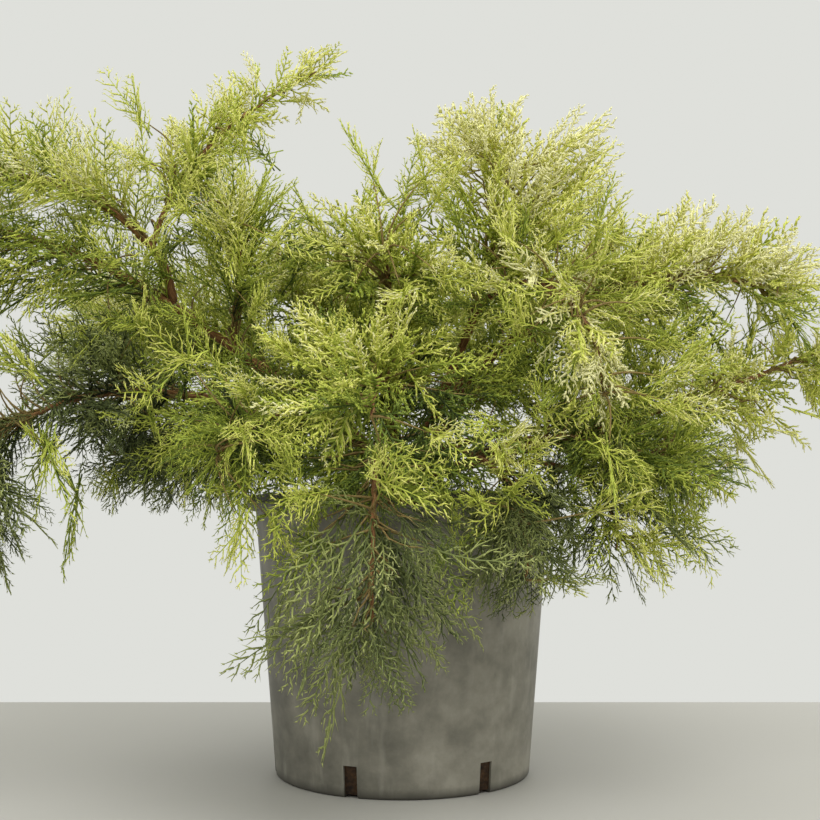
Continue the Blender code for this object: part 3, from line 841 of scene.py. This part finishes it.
@dataclass
class Woodwork:
    """The stem and the boughs with their peeling bark.

    The stem's radius falls from foot_radius to top_radius, plus a root flare of flare * exp(-6 s)
    at a share s of its height.
    """

    courses: dict[str, Course]
    bark: Material
    sides: int = 14
    ring_gap: float = 0.004
    relief: float = 0.09
    wander_rate: float = 60.0
    knot_rate: float = 230.0
    knot_size: float = 0.35
    foot_radius: float = 0.019
    top_radius: float = 0.016
    flare: float = 0.008
    stem_rings: int = 26
    taper: float = 0.85
    shake: float = 0.0004
    seed: int = 11

    def bark_tube(self, centres: Array, radii: Array, phase: float) -> tuple[Array, ...]:
        """A tube whose radius swells and sinks in strips that wander slowly round it.

        The radius is multiplied by 1 + relief * (sin(5 a + wander) + sin(9 a - 1.7 wander) / 2 +
        knots), where the knots swell and sink along the limb.

        Args:
            centres: Points of the axis, shape (rings + 1, 3), the last of which is the tip.
            radii: Radii of the rings.
            phase: Turns the strips.

        Returns:
            Points, triangles and the metres round and along.
        """
        points, faces = tubes(centres[None], radii[None], self.sides)
        rings = len(radii)
        walls = points[0, :-1].reshape(rings, self.sides, 3)
        steps = np.linalg.norm(np.diff(centres, axis=0), axis=1)
        along = np.concatenate(((0.0,), np.cumsum(steps)))
        height = along[:rings, None]
        angles = np.linspace(0.0, math.tau, self.sides, endpoint=False)[None]
        wander = phase + self.wander_rate * height
        swell = np.sin(5.0 * angles + wander) + 0.5 * np.sin(9.0 * angles - 1.7 * wander)
        knots = self.knot_size * np.sin(self.knot_rate * height + phase) * np.sin(angles + phase)
        axis = centres[:rings, None]
        walls = axis + (walls - axis) * (1.0 + self.relief * (swell + knots))[:, :, None]
        around = angles * radii[:, None]
        uv = np.stack((around, np.broadcast_to(height, around.shape)), axis=-1).reshape(-1, 2)
        uv = np.vstack((uv, (0.0, along[-1])))
        return np.vstack((walls.reshape(-1, 3), points[0, -1:])), faces, uv

    def build_stem(self) -> None:
        """The short stem: a root flare that fades upwards and a flat cut on the compost."""
        share = np.linspace(0.0, 1.0, self.stem_rings)
        # The tube stops 2 mm under the solid's top and closes 1.5 mm further up
        heights = COMPOST_TOP + 0.0004 + (STEM_TOP - 0.002 - COMPOST_TOP) * share
        centres = np.stack([stem_axis(height) for height in heights])
        radii = self.foot_radius + (self.top_radius - self.foot_radius) * share
        radii += self.flare * np.exp(-6.0 * share)
        radii[-1] *= 0.8
        centres = np.vstack((centres, centres[-1] + 0.0015 * UP))
        points, faces, uv = self.bark_tube(centres, radii, 0.4)
        Piece("stem_bark", points, faces, [self.bark], "bark", ("stem",), uv=uv).build()

    def build_boughs(self) -> None:
        """Every limb from its foot to its tip, joined by region."""
        draw = np.random.default_rng(self.seed)
        for region in Region:
            points, faces, uvs, count = [], [], [], 0
            limbs = [limb for limb in LIMBS if limb.region is region]
            for limb in limbs:
                rings = max(int(limb.length / self.ring_gap), 12)
                share = np.linspace(0.0, 1.0, rings + 1)
                centres = self.courses[limb.name].place(share)
                shake = draw.normal(0.0, self.shake, centres.shape)
                centres[2:-1] += (shake[2:-1] + shake[1:-2] + shake[:-3]) / 2.0
                taper = share[:-1] ** self.taper
                radii = limb.foot_radius + (limb.tip_radius - limb.foot_radius) * taper
                made, tris, uv = self.bark_tube(centres, radii, draw.uniform(0.0, math.tau))
                faces.append(tris + count)
                points.append(made)
                uvs.append(uv)
                count += len(made)
            covers = tuple("bough_" + limb.name for limb in limbs)
            arrays = np.vstack(points), np.vstack(faces)
            Piece("boughs_" + region.value, *arrays, [self.bark], "bark", covers, uv=np.vstack(uvs)).build()


@dataclass(frozen=True)
class SprayHabit:
    """How one kind of flat spray is branched. Lengths and radii are shares of its axis."""

    branchlets: int
    threads: int
    reach: float
    angle: float
    axis_radius: float
    thread_radius: float
    thread_reach: float
    curl: float
    length: tuple[float, float]


SPRAY_HABITS = {
    Habit.THREAD: SprayHabit(12, 3, 0.44, 42.0, 0.012, 0.0088, 0.15, 0.12, (0.066, 0.100)),
    Habit.SCALE: SprayHabit(11, 3, 0.40, 46.0, 0.019, 0.0175, 0.13, 0.24, (0.044, 0.072)),
}
TEMPLATES_PER_HABIT = 8


class SprayTemplate:
    """One flat spray at length 1: x runs along its axis, y across and z out of its plane."""

    axis_points = 5
    first_branchlet, last_branchlet = 0.10, 0.93
    # How much shorter the threads get towards a branchlet's tip: (thread_base - share along it)
    thread_base = 1.15
    thread_angle = 38.0

    def __init__(self, habit: SprayHabit, seed: int) -> None:
        """Grow the axis, its branchlets and their threads.

        Branchlets leave the axis on alternate sides at the habit's angle and curve forward. The
        longest stand a third of the way up: at a share s of the axis their length is the habit's
        reach * (1 - s)^0.75 + 0.07, shorter below s = 0.28. Threads leave them the same way.

        Args:
            habit: The kind of spray.
            seed: Seed of its random draws.
        """
        draw = np.random.default_rng(seed)
        many, few = habit.branchlets, habit.threads
        axis = self.axis_path(habit, draw)
        at = np.linspace(self.first_branchlet, self.last_branchlet, many) + draw.uniform(-0.02, 0.02, many)
        sides = np.where(np.arange(many) % 2 == 0, 1.0, -1.0)
        length = habit.reach * np.clip(at / 0.28, 0.4, 1.0) * (1.0 - at) ** 0.75 + 0.07
        length *= draw.uniform(0.75, 1.2, many)
        knots = np.linspace(0.0, 1.0, len(axis))
        feet = np.stack([np.interp(at, knots, axis[:, k]) for k in range(3)], axis=1)
        angle = np.radians(habit.angle) * draw.uniform(0.8, 1.2, many)
        rise = draw.normal(0.0, habit.curl, many)
        branchlets = self.forward_paths(feet, angle * sides, rise, length, 0.55)
        share = np.linspace(0.25, 0.85, few)
        whole = branchlets[:, 2, None] - branchlets[:, 0, None]
        knots = branchlets[:, 0, None] + whole * share[:, None]
        turn = np.where(np.arange(few) % 2 == 0, 1.0, -1.0)[None] * sides[:, None]
        fork = np.radians(self.thread_angle) * turn * draw.uniform(0.8, 1.2, turn.shape)
        off = (angle * sides)[:, None] * 0.75 + fork
        reach = habit.thread_reach * (0.45 + length / habit.reach)[:, None] * (self.thread_base - share[None])
        reach = reach * draw.uniform(0.7, 1.2, turn.shape)
        up = draw.normal(0.0, habit.curl * 1.3, turn.shape) + rise[:, None]
        threads = self.forward_paths(knots.reshape(-1, 3), off.ravel(), up.ravel(), reach.ravel(), 0.8)
        # A thread is one wedge, from its foot to its tip
        threads = threads[:, ::2]
        axis_radii = habit.axis_radius * np.linspace(1.0, 0.55, len(axis) - 1)[None]
        limb_radii = habit.thread_radius * np.array((1.25, 0.95))[None].repeat(many, axis=0)
        thread_radii = np.full((len(threads), 1), habit.thread_radius)
        # Zone 2 is the axis, darkest, and zone 0 the threads, which are the lightest
        groups = ((axis[None], axis_radii, 2), (branchlets, limb_radii, 1), (threads, thread_radii, 0))
        points, faces, zones, count = [], [], [], 0
        for paths, radii, zone in groups:
            made, tris = tubes(paths, radii, 3)
            points.append(made.reshape(-1, 3))
            faces.append(spread_faces(len(made), tris, made.shape[1]) + count)
            zones.append(np.full(len(faces[-1]), zone))
            count += len(points[-1])
        self.points, self.faces, self.zones = np.vstack(points), np.vstack(faces), np.concatenate(zones)

    @classmethod
    def axis_path(cls, habit: SprayHabit, draw: Draws) -> Array:
        """A gently snaking axis."""
        share = np.linspace(0.0, 1.0, cls.axis_points)
        sway = draw.uniform(-0.06, 0.06) * np.sin(share * draw.uniform(2.0, 4.5))
        lift = draw.uniform(-1.0, 1.0) * habit.curl * 0.25 * share**2
        return np.stack((share, sway, lift), axis=1)

    @staticmethod
    def forward_paths(feet: Array, angle: Array, rise: Array, length: Array, ease: float) -> Array:
        """Paths of two steps, the second turned nearer to the spray's axis.

        Args:
            feet: Where they start, shape (count, 3).
            angle: Angle from the axis, positive to the left.
            rise: Slope out of the plane.
            length: Length of each path.
            ease: What share of the angle is left in the second step.

        Returns:
            Points, shape (count, 3, 3).
        """
        first = unit(np.stack((np.cos(angle), np.sin(angle), rise), axis=1))
        second = unit(np.stack((np.cos(angle * ease), np.sin(angle * ease), rise * 1.6), axis=1))
        half = (length / 2.0)[:, None]
        return np.stack((feet, feet + first * half, feet + (first + second) * half), axis=1)


@dataclass
class Sprays:
    """The places of many sprays: foot, forward and outward directions, length, droop and tint."""

    feet: Array
    forward: Array
    outward: Array
    length: Array
    droop: Array
    tint: Array
    template: Array

    def mesh_arrays(self, templates: list[SprayTemplate]) -> tuple[Array, Array, Array]:
        """Put a template at every place.

        A template point (x, y, z) goes to foot + length * (x * forward + y * side + z * normal),
        and sinks by length * droop * x * x.

        Args:
            templates: The templates of this habit.

        Returns:
            Points, triangles and the tint of each triangle.
        """
        side = unit(np.cross(self.outward, self.forward))
        basis = np.stack((self.forward, side, np.cross(self.forward, side)), axis=1)
        points, faces, tints, count = [], [], [], 0
        for number, template in enumerate(templates):
            chosen = self.template == number
            many = int(chosen.sum())
            if many == 0:
                continue
            size = self.length[chosen][:, None, None]
            placed = self.feet[chosen][:, None] + (template.points[None] * size) @ basis[chosen]
            sag = self.droop[chosen][:, None] * size[:, :, 0]
            placed[:, :, 2] -= sag * template.points[None, :, 0] ** 2
            points.append(placed.reshape(-1, 3))
            faces.append(spread_faces(many, template.faces, len(template.points)) + count)
            tints.append((self.tint[chosen][:, None] + template.zones[None] - 1).ravel())
            count += many * len(template.points)
        return np.vstack(points), np.vstack(faces), np.concatenate(tints)


def tint_numbers(lightness: Array) -> Array:
    """Numbers of the tints for lightness from 0, the last tint, to 1, the first."""
    return np.rint((1.0 - lightness) * (len(GOLD_TINTS) - 1)).astype(int)


class Crown:
    """All foliage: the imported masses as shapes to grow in, and the sprays and twigs in them."""

    # Twigs for each square metre of a mass's surface, the share of them that is kept where no
    # light comes, and how fast that share rises with the light
    laterals_per_area, dark_share, light_gain = 620.0, 0.30, 1.6
    # How far before its mass a twig may leave the limb, how far along it at most, how far back
    # from its target as a share of the gap, and how deep it ends as a share of its sprays' length
    early_start, last_foot, set_back, inset = 0.12, 0.96, 0.75, 0.45
    # How far the twig's curve bends along the limb and outwards, as shares of the gap, and its shake
    bend_along, bend_out, twig_shake = 0.5, 0.08, 0.0015
    twig_foot, twig_tip, twig_sides = 0.0013, 0.0006, 4
    # Where sprays stand along a twig, how much painted shade darkens the innermost, and the shortest kept
    spray_places, depth_shade, shortest = (0.45, 0.72, 1.0), 0.28, 0.018
    # How much the open sky and an upward face lighten a spray, and the spread of its lightness
    sky_glow, sky_mean, top_glow, glow_spread = 0.34, 0.55, 0.10, 0.075
    spine_gap, spine_early, spine_shade = 0.009, 0.04, 0.10
    ray_count, ray_reach, ray_start, ray_seed = 14, 0.30, 0.004, 3
    # How far a spray may poke out of its mass, plus a share of what is left of it
    poke, poke_share = 0.010, 0.35
    # Points tried for gaps between masses, how near both masses must be, how far apart the points
    # stay, sprays at each, and the height and radius that keep them clear of the pot
    gap_tries, gap_reach, gap_spacing, gap_sprays = 9000, 0.042, 0.024, 3
    gap_floor, gap_radius, gap_shade, gap_sky_glow = 0.285, 0.185, 0.34, 0.36
    gap_length = (0.055, 0.080)
    grow_seed, gap_seed = 1000, 77
    middle = np.array((0.0, 0.0, 0.36))

    def __init__(self, courses: dict[str, Course]) -> None:
        """Read the masses' shapes and make the templates and tints.

        Args:
            courses: The courses by limb name.
        """
        self.courses = courses
        self.shapes = {mass.name: self.read_shape("foliage_" + mass.name) for mass in MASSES}
        self.trees = {
            name: BVHTree.FromPolygons(points.tolist(), faces.tolist())
            for name, (points, faces) in self.shapes.items()
        }
        shapes = self.shapes.values()
        starts = np.cumsum([0] + [len(points) for points, _ in shapes])
        everything = np.vstack([points for points, _ in shapes])
        every_face = np.vstack([faces + start for (_, faces), start in zip(shapes, starts)])
        self.all_masses = BVHTree.FromPolygons(everything.tolist(), every_face.tolist())
        self.templates = {
            habit: [SprayTemplate(SPRAY_HABITS[habit], 100 * number + k) for k in range(TEMPLATES_PER_HABIT)]
            for number, habit in enumerate(Habit)
        }
        self.tints = {
            cool: [
                ScaleLeaf(f"{'cool' if cool else 'gold'} scale leaf {k + 1}", colour).material()
                for k, colour in enumerate(COOL_TINTS if cool else GOLD_TINTS)
            ]
            for cool in (False, True)
        }
        self.twig_paths: dict[Region, list[Array]] = {region: [] for region in Region}

    @staticmethod
    def read_shape(node: str) -> tuple[Array, Array]:
        """The points and triangles of a packed mass.

        Args:
            node: The node's name.

        Returns:
            Points, shape (count, 3), and triangles, shape (count, 3).
        """
        mesh = frame["nodes"][node].data
        mesh.calc_loop_triangles()
        points = np.empty(len(mesh.vertices) * 3)
        mesh.vertices.foreach_get("co", points)
        faces = np.empty(len(mesh.loop_triangles) * 3, dtype=np.int32)
        mesh.loop_triangles.foreach_get("vertices", faces)
        return points.reshape(-1, 3), faces.reshape(-1, 3)

    def surface_targets(self, mass: Mass, draw: Draws) -> tuple[Array, Array]:
        """Random points spread evenly over a mass's surface.

        Args:
            mass: The mass.
            draw: Its random draws.

        Returns:
            Points and outward normals.
        """
        points, faces = self.shapes[mass.name]
        a, b, c = (points[faces[:, k]] for k in range(3))
        cross = np.cross(b - a, c - a)
        area = np.linalg.norm(cross, axis=1) / 2.0
        count = max(int(area.sum() * self.laterals_per_area * mass.density), 12)
        chosen = draw.choice(len(faces), count, p=area / area.sum())
        u, v = draw.uniform(0.0, 1.0, (2, count, 1))
        flip = u + v > 1.0
        u, v = np.where(flip, 1.0 - u, u), np.where(flip, 1.0 - v, v)
        spots = a[chosen] + u * (b - a)[chosen] + v * (c - a)[chosen]
        return spots, unit(cross[chosen])

    def exposure(self, spots: Array, normals: Array) -> Array:
        """What share of rays from each spot, spread about its normal and the sky, gets away.

        Args:
            spots: Points on a mass.
            normals: Their outward normals.

        Returns:
            Shares from 0 to 1.
        """
        scatter = unit(np.random.default_rng(self.ray_seed).normal(0.0, 1.0, (self.ray_count, 3)))
        open_share = np.zeros(len(spots))
        for number, (spot, normal) in enumerate(zip(spots, normals)):
            rays = unit(normal + 0.35 * UP + 0.85 * scatter)
            start = Vector(spot + normal * self.ray_start)
            hits = [self.all_masses.ray_cast(start, Vector(ray), self.ray_reach)[0] for ray in rays]
            open_share[number] = sum(hit is None for hit in hits) / self.ray_count
        return open_share

    def grow(self, mass: Mass, number: int) -> None:
        """Grow the twigs and sprays of one mass and put its sprays into the scene.

        A twig leaves the limb behind its target, as far back as the target is out, and bends out
        to it. Sprays stand on alternate sides of its outer part.

        Args:
            mass: The mass.
            number: Its place in the table, which seeds its draws.
        """
        draw = np.random.default_rng(self.grow_seed + number)
        course = self.courses[mass.limb]
        targets, normals = self.surface_targets(mass, draw)
        light = self.exposure(targets, normals)
        kept_share = np.clip(self.dark_share + self.light_gain * light, 0.0, 1.0)
        keep = draw.uniform(0.0, 1.0, len(targets)) < kept_share
        targets, normals, light = targets[keep], normals[keep], light[keep]
        shares = np.linspace(max(mass.start - self.early_start, 0.02), min(mass.end, 1.0), 60)
        gaps = np.linalg.norm(targets[:, None] - course.place(shares)[None], axis=2)
        back = shares[gaps.argmin(axis=1)] - self.set_back * gaps.min(axis=1) / course.limb.length
        foot_share = np.clip(back, shares[0], self.last_foot)
        feet = course.place(foot_share)
        size = draw.uniform(*SPRAY_HABITS[mass.habit].length, len(targets))
        ends = targets - normals * (size * self.inset)[:, None]
        gap = np.linalg.norm(ends - feet, axis=1)[:, None]
        bends = feet + course.along(foot_share) * gap * self.bend_along + normals * gap * self.bend_out
        paths = curve_between(feet, bends, ends)
        shake = draw.normal(0.0, self.twig_shake, paths.shape)
        shake[:, 0] = 0.0
        paths = paths + shake
        self.twig_paths[course.limb.region].append(paths)
        sprays = self.sprays_on(mass, paths, normals, size, light, draw)
        self.build_sprays("sprays_" + mass.name, sprays, mass.habit, mass.cool, ("foliage_" + mass.name,))

    def build_sprays(
        self, name: str, sprays: Sprays, habit: Habit, cool: bool, covers: tuple[str, ...] = ()
    ) -> None:
        """Put sprays into the scene as one piece.

        Args:
            name: The piece's name.
            sprays: Where they are.
            habit: How they are branched.
            cool: Whether they have the grey-green tints.
            covers: The solids that it replaces.
        """
        points, faces, tints = sprays.mesh_arrays(self.templates[habit])
        clearance = Clearance()
        points = clearance.ease_into_box(clearance.lay_on_pot(points))
        tints = np.clip(tints, 0, len(GOLD_TINTS) - 1)
        slot = "foliage_green" if cool else "foliage_gold"
        Piece(name, points, faces, self.tints[cool], slot, covers, tints).build()

    def sprays_on(
        self, mass: Mass, paths: Array, normals: Array, size: Array, light: Array, draw: Draws
    ) -> Sprays:
        """Places of the sprays along the outer part of each twig and at its tip.

        Args:
            mass: The mass.
            paths: The twigs, shape (twigs, TWIG_POINTS, 3).
            normals: The outward direction at each twig's end.
            size: The length of each twig's sprays.
            light: How open each twig's end is, from 0 to 1.
            draw: The mass's random draws.

        Returns:
            The sprays.
        """
        feet, forward, outward, length, tint = [], [], [], [], []
        steps = np.diff(paths, axis=1)
        last = TWIG_POINTS - 1
        for place, at in enumerate(self.spray_places):
            index = min(int(at * last), last - 1)
            tangent = unit(steps[:, index])
            side = unit(np.cross(normals, tangent)) * (1.0 if place % 2 else -1.0)
            spread = 0.0 if at >= 1.0 else 0.75
            way = tangent + side * spread * draw.uniform(0.7, 1.3, (len(paths), 1)) + normals * 0.30
            way = unit(way) + draw.normal(0.0, 0.20, way.shape)
            way[:, 2] += mass.lift
            feet.append(paths[:, index] + steps[:, index] * (at * last - index))
            forward.append(unit(way))
            outward.append(unit(normals + draw.normal(0.0, 0.40, normals.shape)))
            length.append(size * draw.uniform(0.8, 1.1, len(paths)))
            glow = mass.light + self.sky_glow * (light - self.sky_mean) + self.top_glow * normals[:, 2]
            glow = glow - (1.0 - at) * self.depth_shade
            tint.append(glow + draw.normal(0.0, self.glow_spread, len(paths)))
        for group, made in zip((feet, forward, outward, length, tint), self.spine_sprays(mass, draw)):
            group.append(made)
        feet, forward, outward = np.vstack(feet), np.vstack(forward), np.vstack(outward)
        length = self.hold_in(mass, feet, forward, np.concatenate(length))
        tint = tint_numbers(np.concatenate(tint))
        templates = draw.integers(0, TEMPLATES_PER_HABIT, len(feet))
        droop = draw.normal(-0.25 * mass.lift, 0.08, len(feet))
        alive = length > self.shortest
        return Sprays(*(part[alive] for part in (feet, forward, outward, length, droop, tint, templates)))

    def spine_sprays(self, mass: Mass, draw: Draws) -> tuple[Array, ...]:
        """Sprays that stand on the limb itself, turned by the golden angle from one to the next.

        Args:
            mass: The mass.
            draw: The mass's random draws.

        Returns:
            Feet, forward and outward directions, lengths and lightness.
        """
        course = self.courses[mass.limb]
        end = min(mass.end, 1.0)
        count = max(int((end - mass.start) * course.limb.length / self.spine_gap), 4)
        share = np.linspace(mass.start - self.spine_early, end - 0.02, count)
        along = course.along(share)
        side = unit(np.cross(along, UP) + (0.0, TINY, 0.0))
        turn = (np.arange(count) * GOLDEN_ANGLE)[:, None]
        radial = np.cos(turn) * side + np.sin(turn) * np.cross(side, along)
        way = along * 0.7 + radial * 0.8 + draw.normal(0.0, 0.15, radial.shape)
        way[:, 2] += mass.lift
        tint = mass.light - self.spine_shade + draw.normal(0.0, 0.08, count)
        length = draw.uniform(*SPRAY_HABITS[mass.habit].length, count)
        return course.place(share), unit(way), radial, length, tint

    def find_gaps(self, draw: Draws) -> Array:
        """Points outside the masses but close to two of them, well apart and clear of the pot.

        Args:
            draw: Random draws.

        Returns:
            Points, shape (count, 3).
        """
        spots = draw.uniform(*(np.array(corner) for corner in CAD_BOX), (self.gap_tries, 3))
        radius = np.hypot(spots[:, 0], spots[:, 1])
        spots = spots[(spots[:, 2] > self.gap_floor) | (radius > self.gap_radius)]
        shapes = self.shapes.values()
        near = [np.linalg.norm(spots[:, None] - points[None], axis=2).min(axis=1) for points, _ in shapes]
        spots = spots[np.sort(np.stack(near, axis=1), axis=1)[:, 1] < self.gap_reach]
        kept: list[Array] = []
        for spot in spots:
            place, normal, _, _ = self.all_masses.find_nearest(Vector(spot))
            outside = (Vector(spot) - place).dot(normal) > 0.0
            if outside and all(np.linalg.norm(spot - other) > self.gap_spacing for other in kept):
                kept.append(spot)
        return np.array(kept)

    def fill_gaps(self) -> None:
        """Clothe the space between neighbouring masses with shaded sprays on twigs of their own."""
        draw = np.random.default_rng(self.gap_seed)
        spots = self.find_gaps(draw)
        nodes = np.vstack([course.points for course in self.courses.values()])
        owners = np.concatenate([[name] * (LIMB_STEPS + 1) for name in self.courses])
        nearest = np.linalg.norm(spots[:, None] - nodes[None], axis=2).argmin(axis=1)
        feet = nodes[nearest]
        out = unit(spots - self.middle)
        light = self.exposure(spots, out)
        gap = np.linalg.norm(spots - feet, axis=1)[:, None]
        paths = curve_between(feet, feet + out * gap * 0.35 + 0.01 * UP, spots)
        regions = np.array([self.courses[name].limb.region.value for name in owners[nearest]])
        each = self.gap_sprays
        for region in Region:
            mine = regions == region.value
            many = int(mine.sum()) * each
            if many == 0:
                continue
            self.twig_paths[region].append(paths[mine])
            way = np.repeat(out[mine], each, axis=0)
            tangent = np.repeat(unit(spots - feet)[mine], each, axis=0)
            forward = unit(way * 0.5 + tangent * 0.5 + draw.normal(0.0, 0.45, (many, 3)))
            lightness = self.gap_shade + self.gap_sky_glow * np.repeat(light[mine], each)
            tint = tint_numbers(lightness + draw.normal(0.0, 0.07, many))
            start = np.repeat(spots[mine], each, axis=0) - forward * 0.02
            outward = unit(way + draw.normal(0.0, 0.35, way.shape))
            length = draw.uniform(*self.gap_length, many)
            droop = draw.normal(0.05, 0.08, many)
            templates = draw.integers(0, TEMPLATES_PER_HABIT, many)
            sprays = Sprays(start, forward, outward, length, droop, tint, templates)
            self.build_sprays("inner_sprays_" + region.value, sprays, Habit.THREAD, False)

    def hold_in(self, mass: Mass, feet: Array, forward: Array, length: Array) -> Array:
        """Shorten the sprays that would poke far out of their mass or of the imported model's box.

        Args:
            mass: The mass.
            feet: The sprays' feet.
            forward: Their directions.
            length: Their lengths.

        Returns:
            The lengths, cut at the mass's surface plus a little.
        """
        tree = self.trees[mass.name]
        held = length.copy()
        for number in range(len(feet)):
            hit, _, _, distance = tree.ray_cast(Vector(feet[number]), Vector(forward[number]), length[number])
            if hit is not None:
                out = distance + self.poke + self.poke_share * (length[number] - distance)
                held[number] = min(length[number], out)
        low, high = (np.array(corner) for corner in CAD_BOX)
        spare = 0.02 * (high - low) + 0.004
        for _ in range(8):
            tips = feet + forward * held[:, None]
            over = ((tips < low - spare) | (tips > high + spare)).any(axis=1)
            held = np.where(over, held * 0.75, held)
        return held

    def build_twigs(self, bark: Material) -> None:
        """Join the twigs of each region into one piece.

        Args:
            bark: Their material.
        """
        for region, groups in self.twig_paths.items():
            paths = np.vstack(groups)
            radii = np.linspace(self.twig_foot, self.twig_tip, TWIG_POINTS - 1)
            points, tris = tubes(paths, np.tile(radii, (len(paths), 1)), self.twig_sides)
            faces = spread_faces(len(points), tris, points.shape[1])
            along = np.linspace(0.0, 0.05, points.shape[1])
            uv = np.stack((along, along), axis=1)[None].repeat(len(points), axis=0).reshape(-1, 2)
            Piece("twigs_" + region.value, points.reshape(-1, 3), faces, [bark], "bark", uv=uv).build()


@dataclass(frozen=True)
class Studio:
    """The camera at the photograph's place, a pale floor and soft light.

    The camera is tilted up by 6.8 of the picture's pixels, at a focal length of 1576 pixels.
    """

    camera_place: Vec3 = (0.0073, -1.511, 0.3385)
    camera_lens: float = 69.19
    camera_tilt: float = math.pi / 2.0 + 6.8 / 1576.0
    floor_colour: str = "#b9b7b0"
    floor_half: float = 2.5
    floor_back: float = 0.36
    air_colour: str = "#e4e5e0"
    air_strength: float = 0.95
    lamp_aim: Vec3 = (0.0, 0.0, 0.35)

    def build(self) -> None:
        """Set up the camera, the floor, the air and the lamps."""
        data = bpy.data.cameras.new("camera")
        data.lens = self.camera_lens
        camera = bpy.data.objects.new("camera", data)
        camera.location = self.camera_place
        camera.rotation_euler = (self.camera_tilt, 0.0, 0.0)
        bpy.context.scene.collection.objects.link(camera)
        bpy.context.scene.camera = camera
        self.build_floor()
        world = bpy.data.worlds.new("studio air")
        world.use_nodes = True
        air = world.node_tree.nodes["Background"]
        air.inputs["Color"].default_value = linear(self.air_colour)
        air.inputs["Strength"].default_value = self.air_strength
        bpy.context.scene.world = world
        bpy.context.scene.view_settings.view_transform = "Standard"
        self.add_lamp("key lamp", (0.7, -1.3, 2.2), 1.6, 34.0)
        self.add_lamp("fill lamp", (-1.6, -0.9, 1.3), 1.4, 9.0)
        self.add_lamp("back lamp", (0.3, 1.6, 1.8), 1.4, 10.0)

    def build_floor(self) -> None:
        """A plain pale floor, wide enough for every view."""
        material, shader = blank_material("painted board", Roughness=0.7)
        shader.inputs["Base Color"].default_value = linear(self.floor_colour)
        mesh = bpy.data.meshes.new("floor")
        half, back = self.floor_half, self.floor_back
        corners = ((-half, -half, 0.0), (half, -half, 0.0), (half, back, 0.0), (-half, back, 0.0))
        mesh.from_pydata(corners, [], [(0, 1, 2, 3)])
        mesh.materials.append(material)
        floor = bpy.data.objects.new("floor", mesh)
        bpy.context.scene.collection.objects.link(floor)

    def add_lamp(self, name: str, place: Vec3, size: float, power: float) -> None:
        """A square soft lamp that looks at the crown.

        Args:
            name: The lamp's name.
            place: Where it hangs.
            size: Its side.
            power: Its watts.
        """
        data = bpy.data.lights.new(name, "AREA")
        data.size = size
        data.energy = power
        lamp = bpy.data.objects.new(name, data)
        lamp.location = place
        aim = Vector(self.lamp_aim) - Vector(place)
        lamp.rotation_euler = aim.to_track_quat("-Z", "Y").to_euler()
        bpy.context.scene.collection.objects.link(lamp)


def main() -> None:
    """Build the pot, the wood, the foliage and the studio."""
    logging.basicConfig(level=logging.INFO, format="%(message)s")
    Studio().build()
    NurseryPot().build()
    CompostFill().build()
    courses = lay_out_courses()
    woodwork = Woodwork(courses, JuniperBark().material())
    woodwork.build_stem()
    woodwork.build_boughs()
    crown = Crown(courses)
    for number, mass in enumerate(MASSES):
        crown.grow(mass, number)
    crown.fill_gaps()
    twig_bark = JuniperBark("young juniper bark", "#5d4a26", "#8a7440", "#b9a768", 0.0008, 0.01)
    crown.build_twigs(twig_bark.material())


if __name__ == "__main__":
    main()
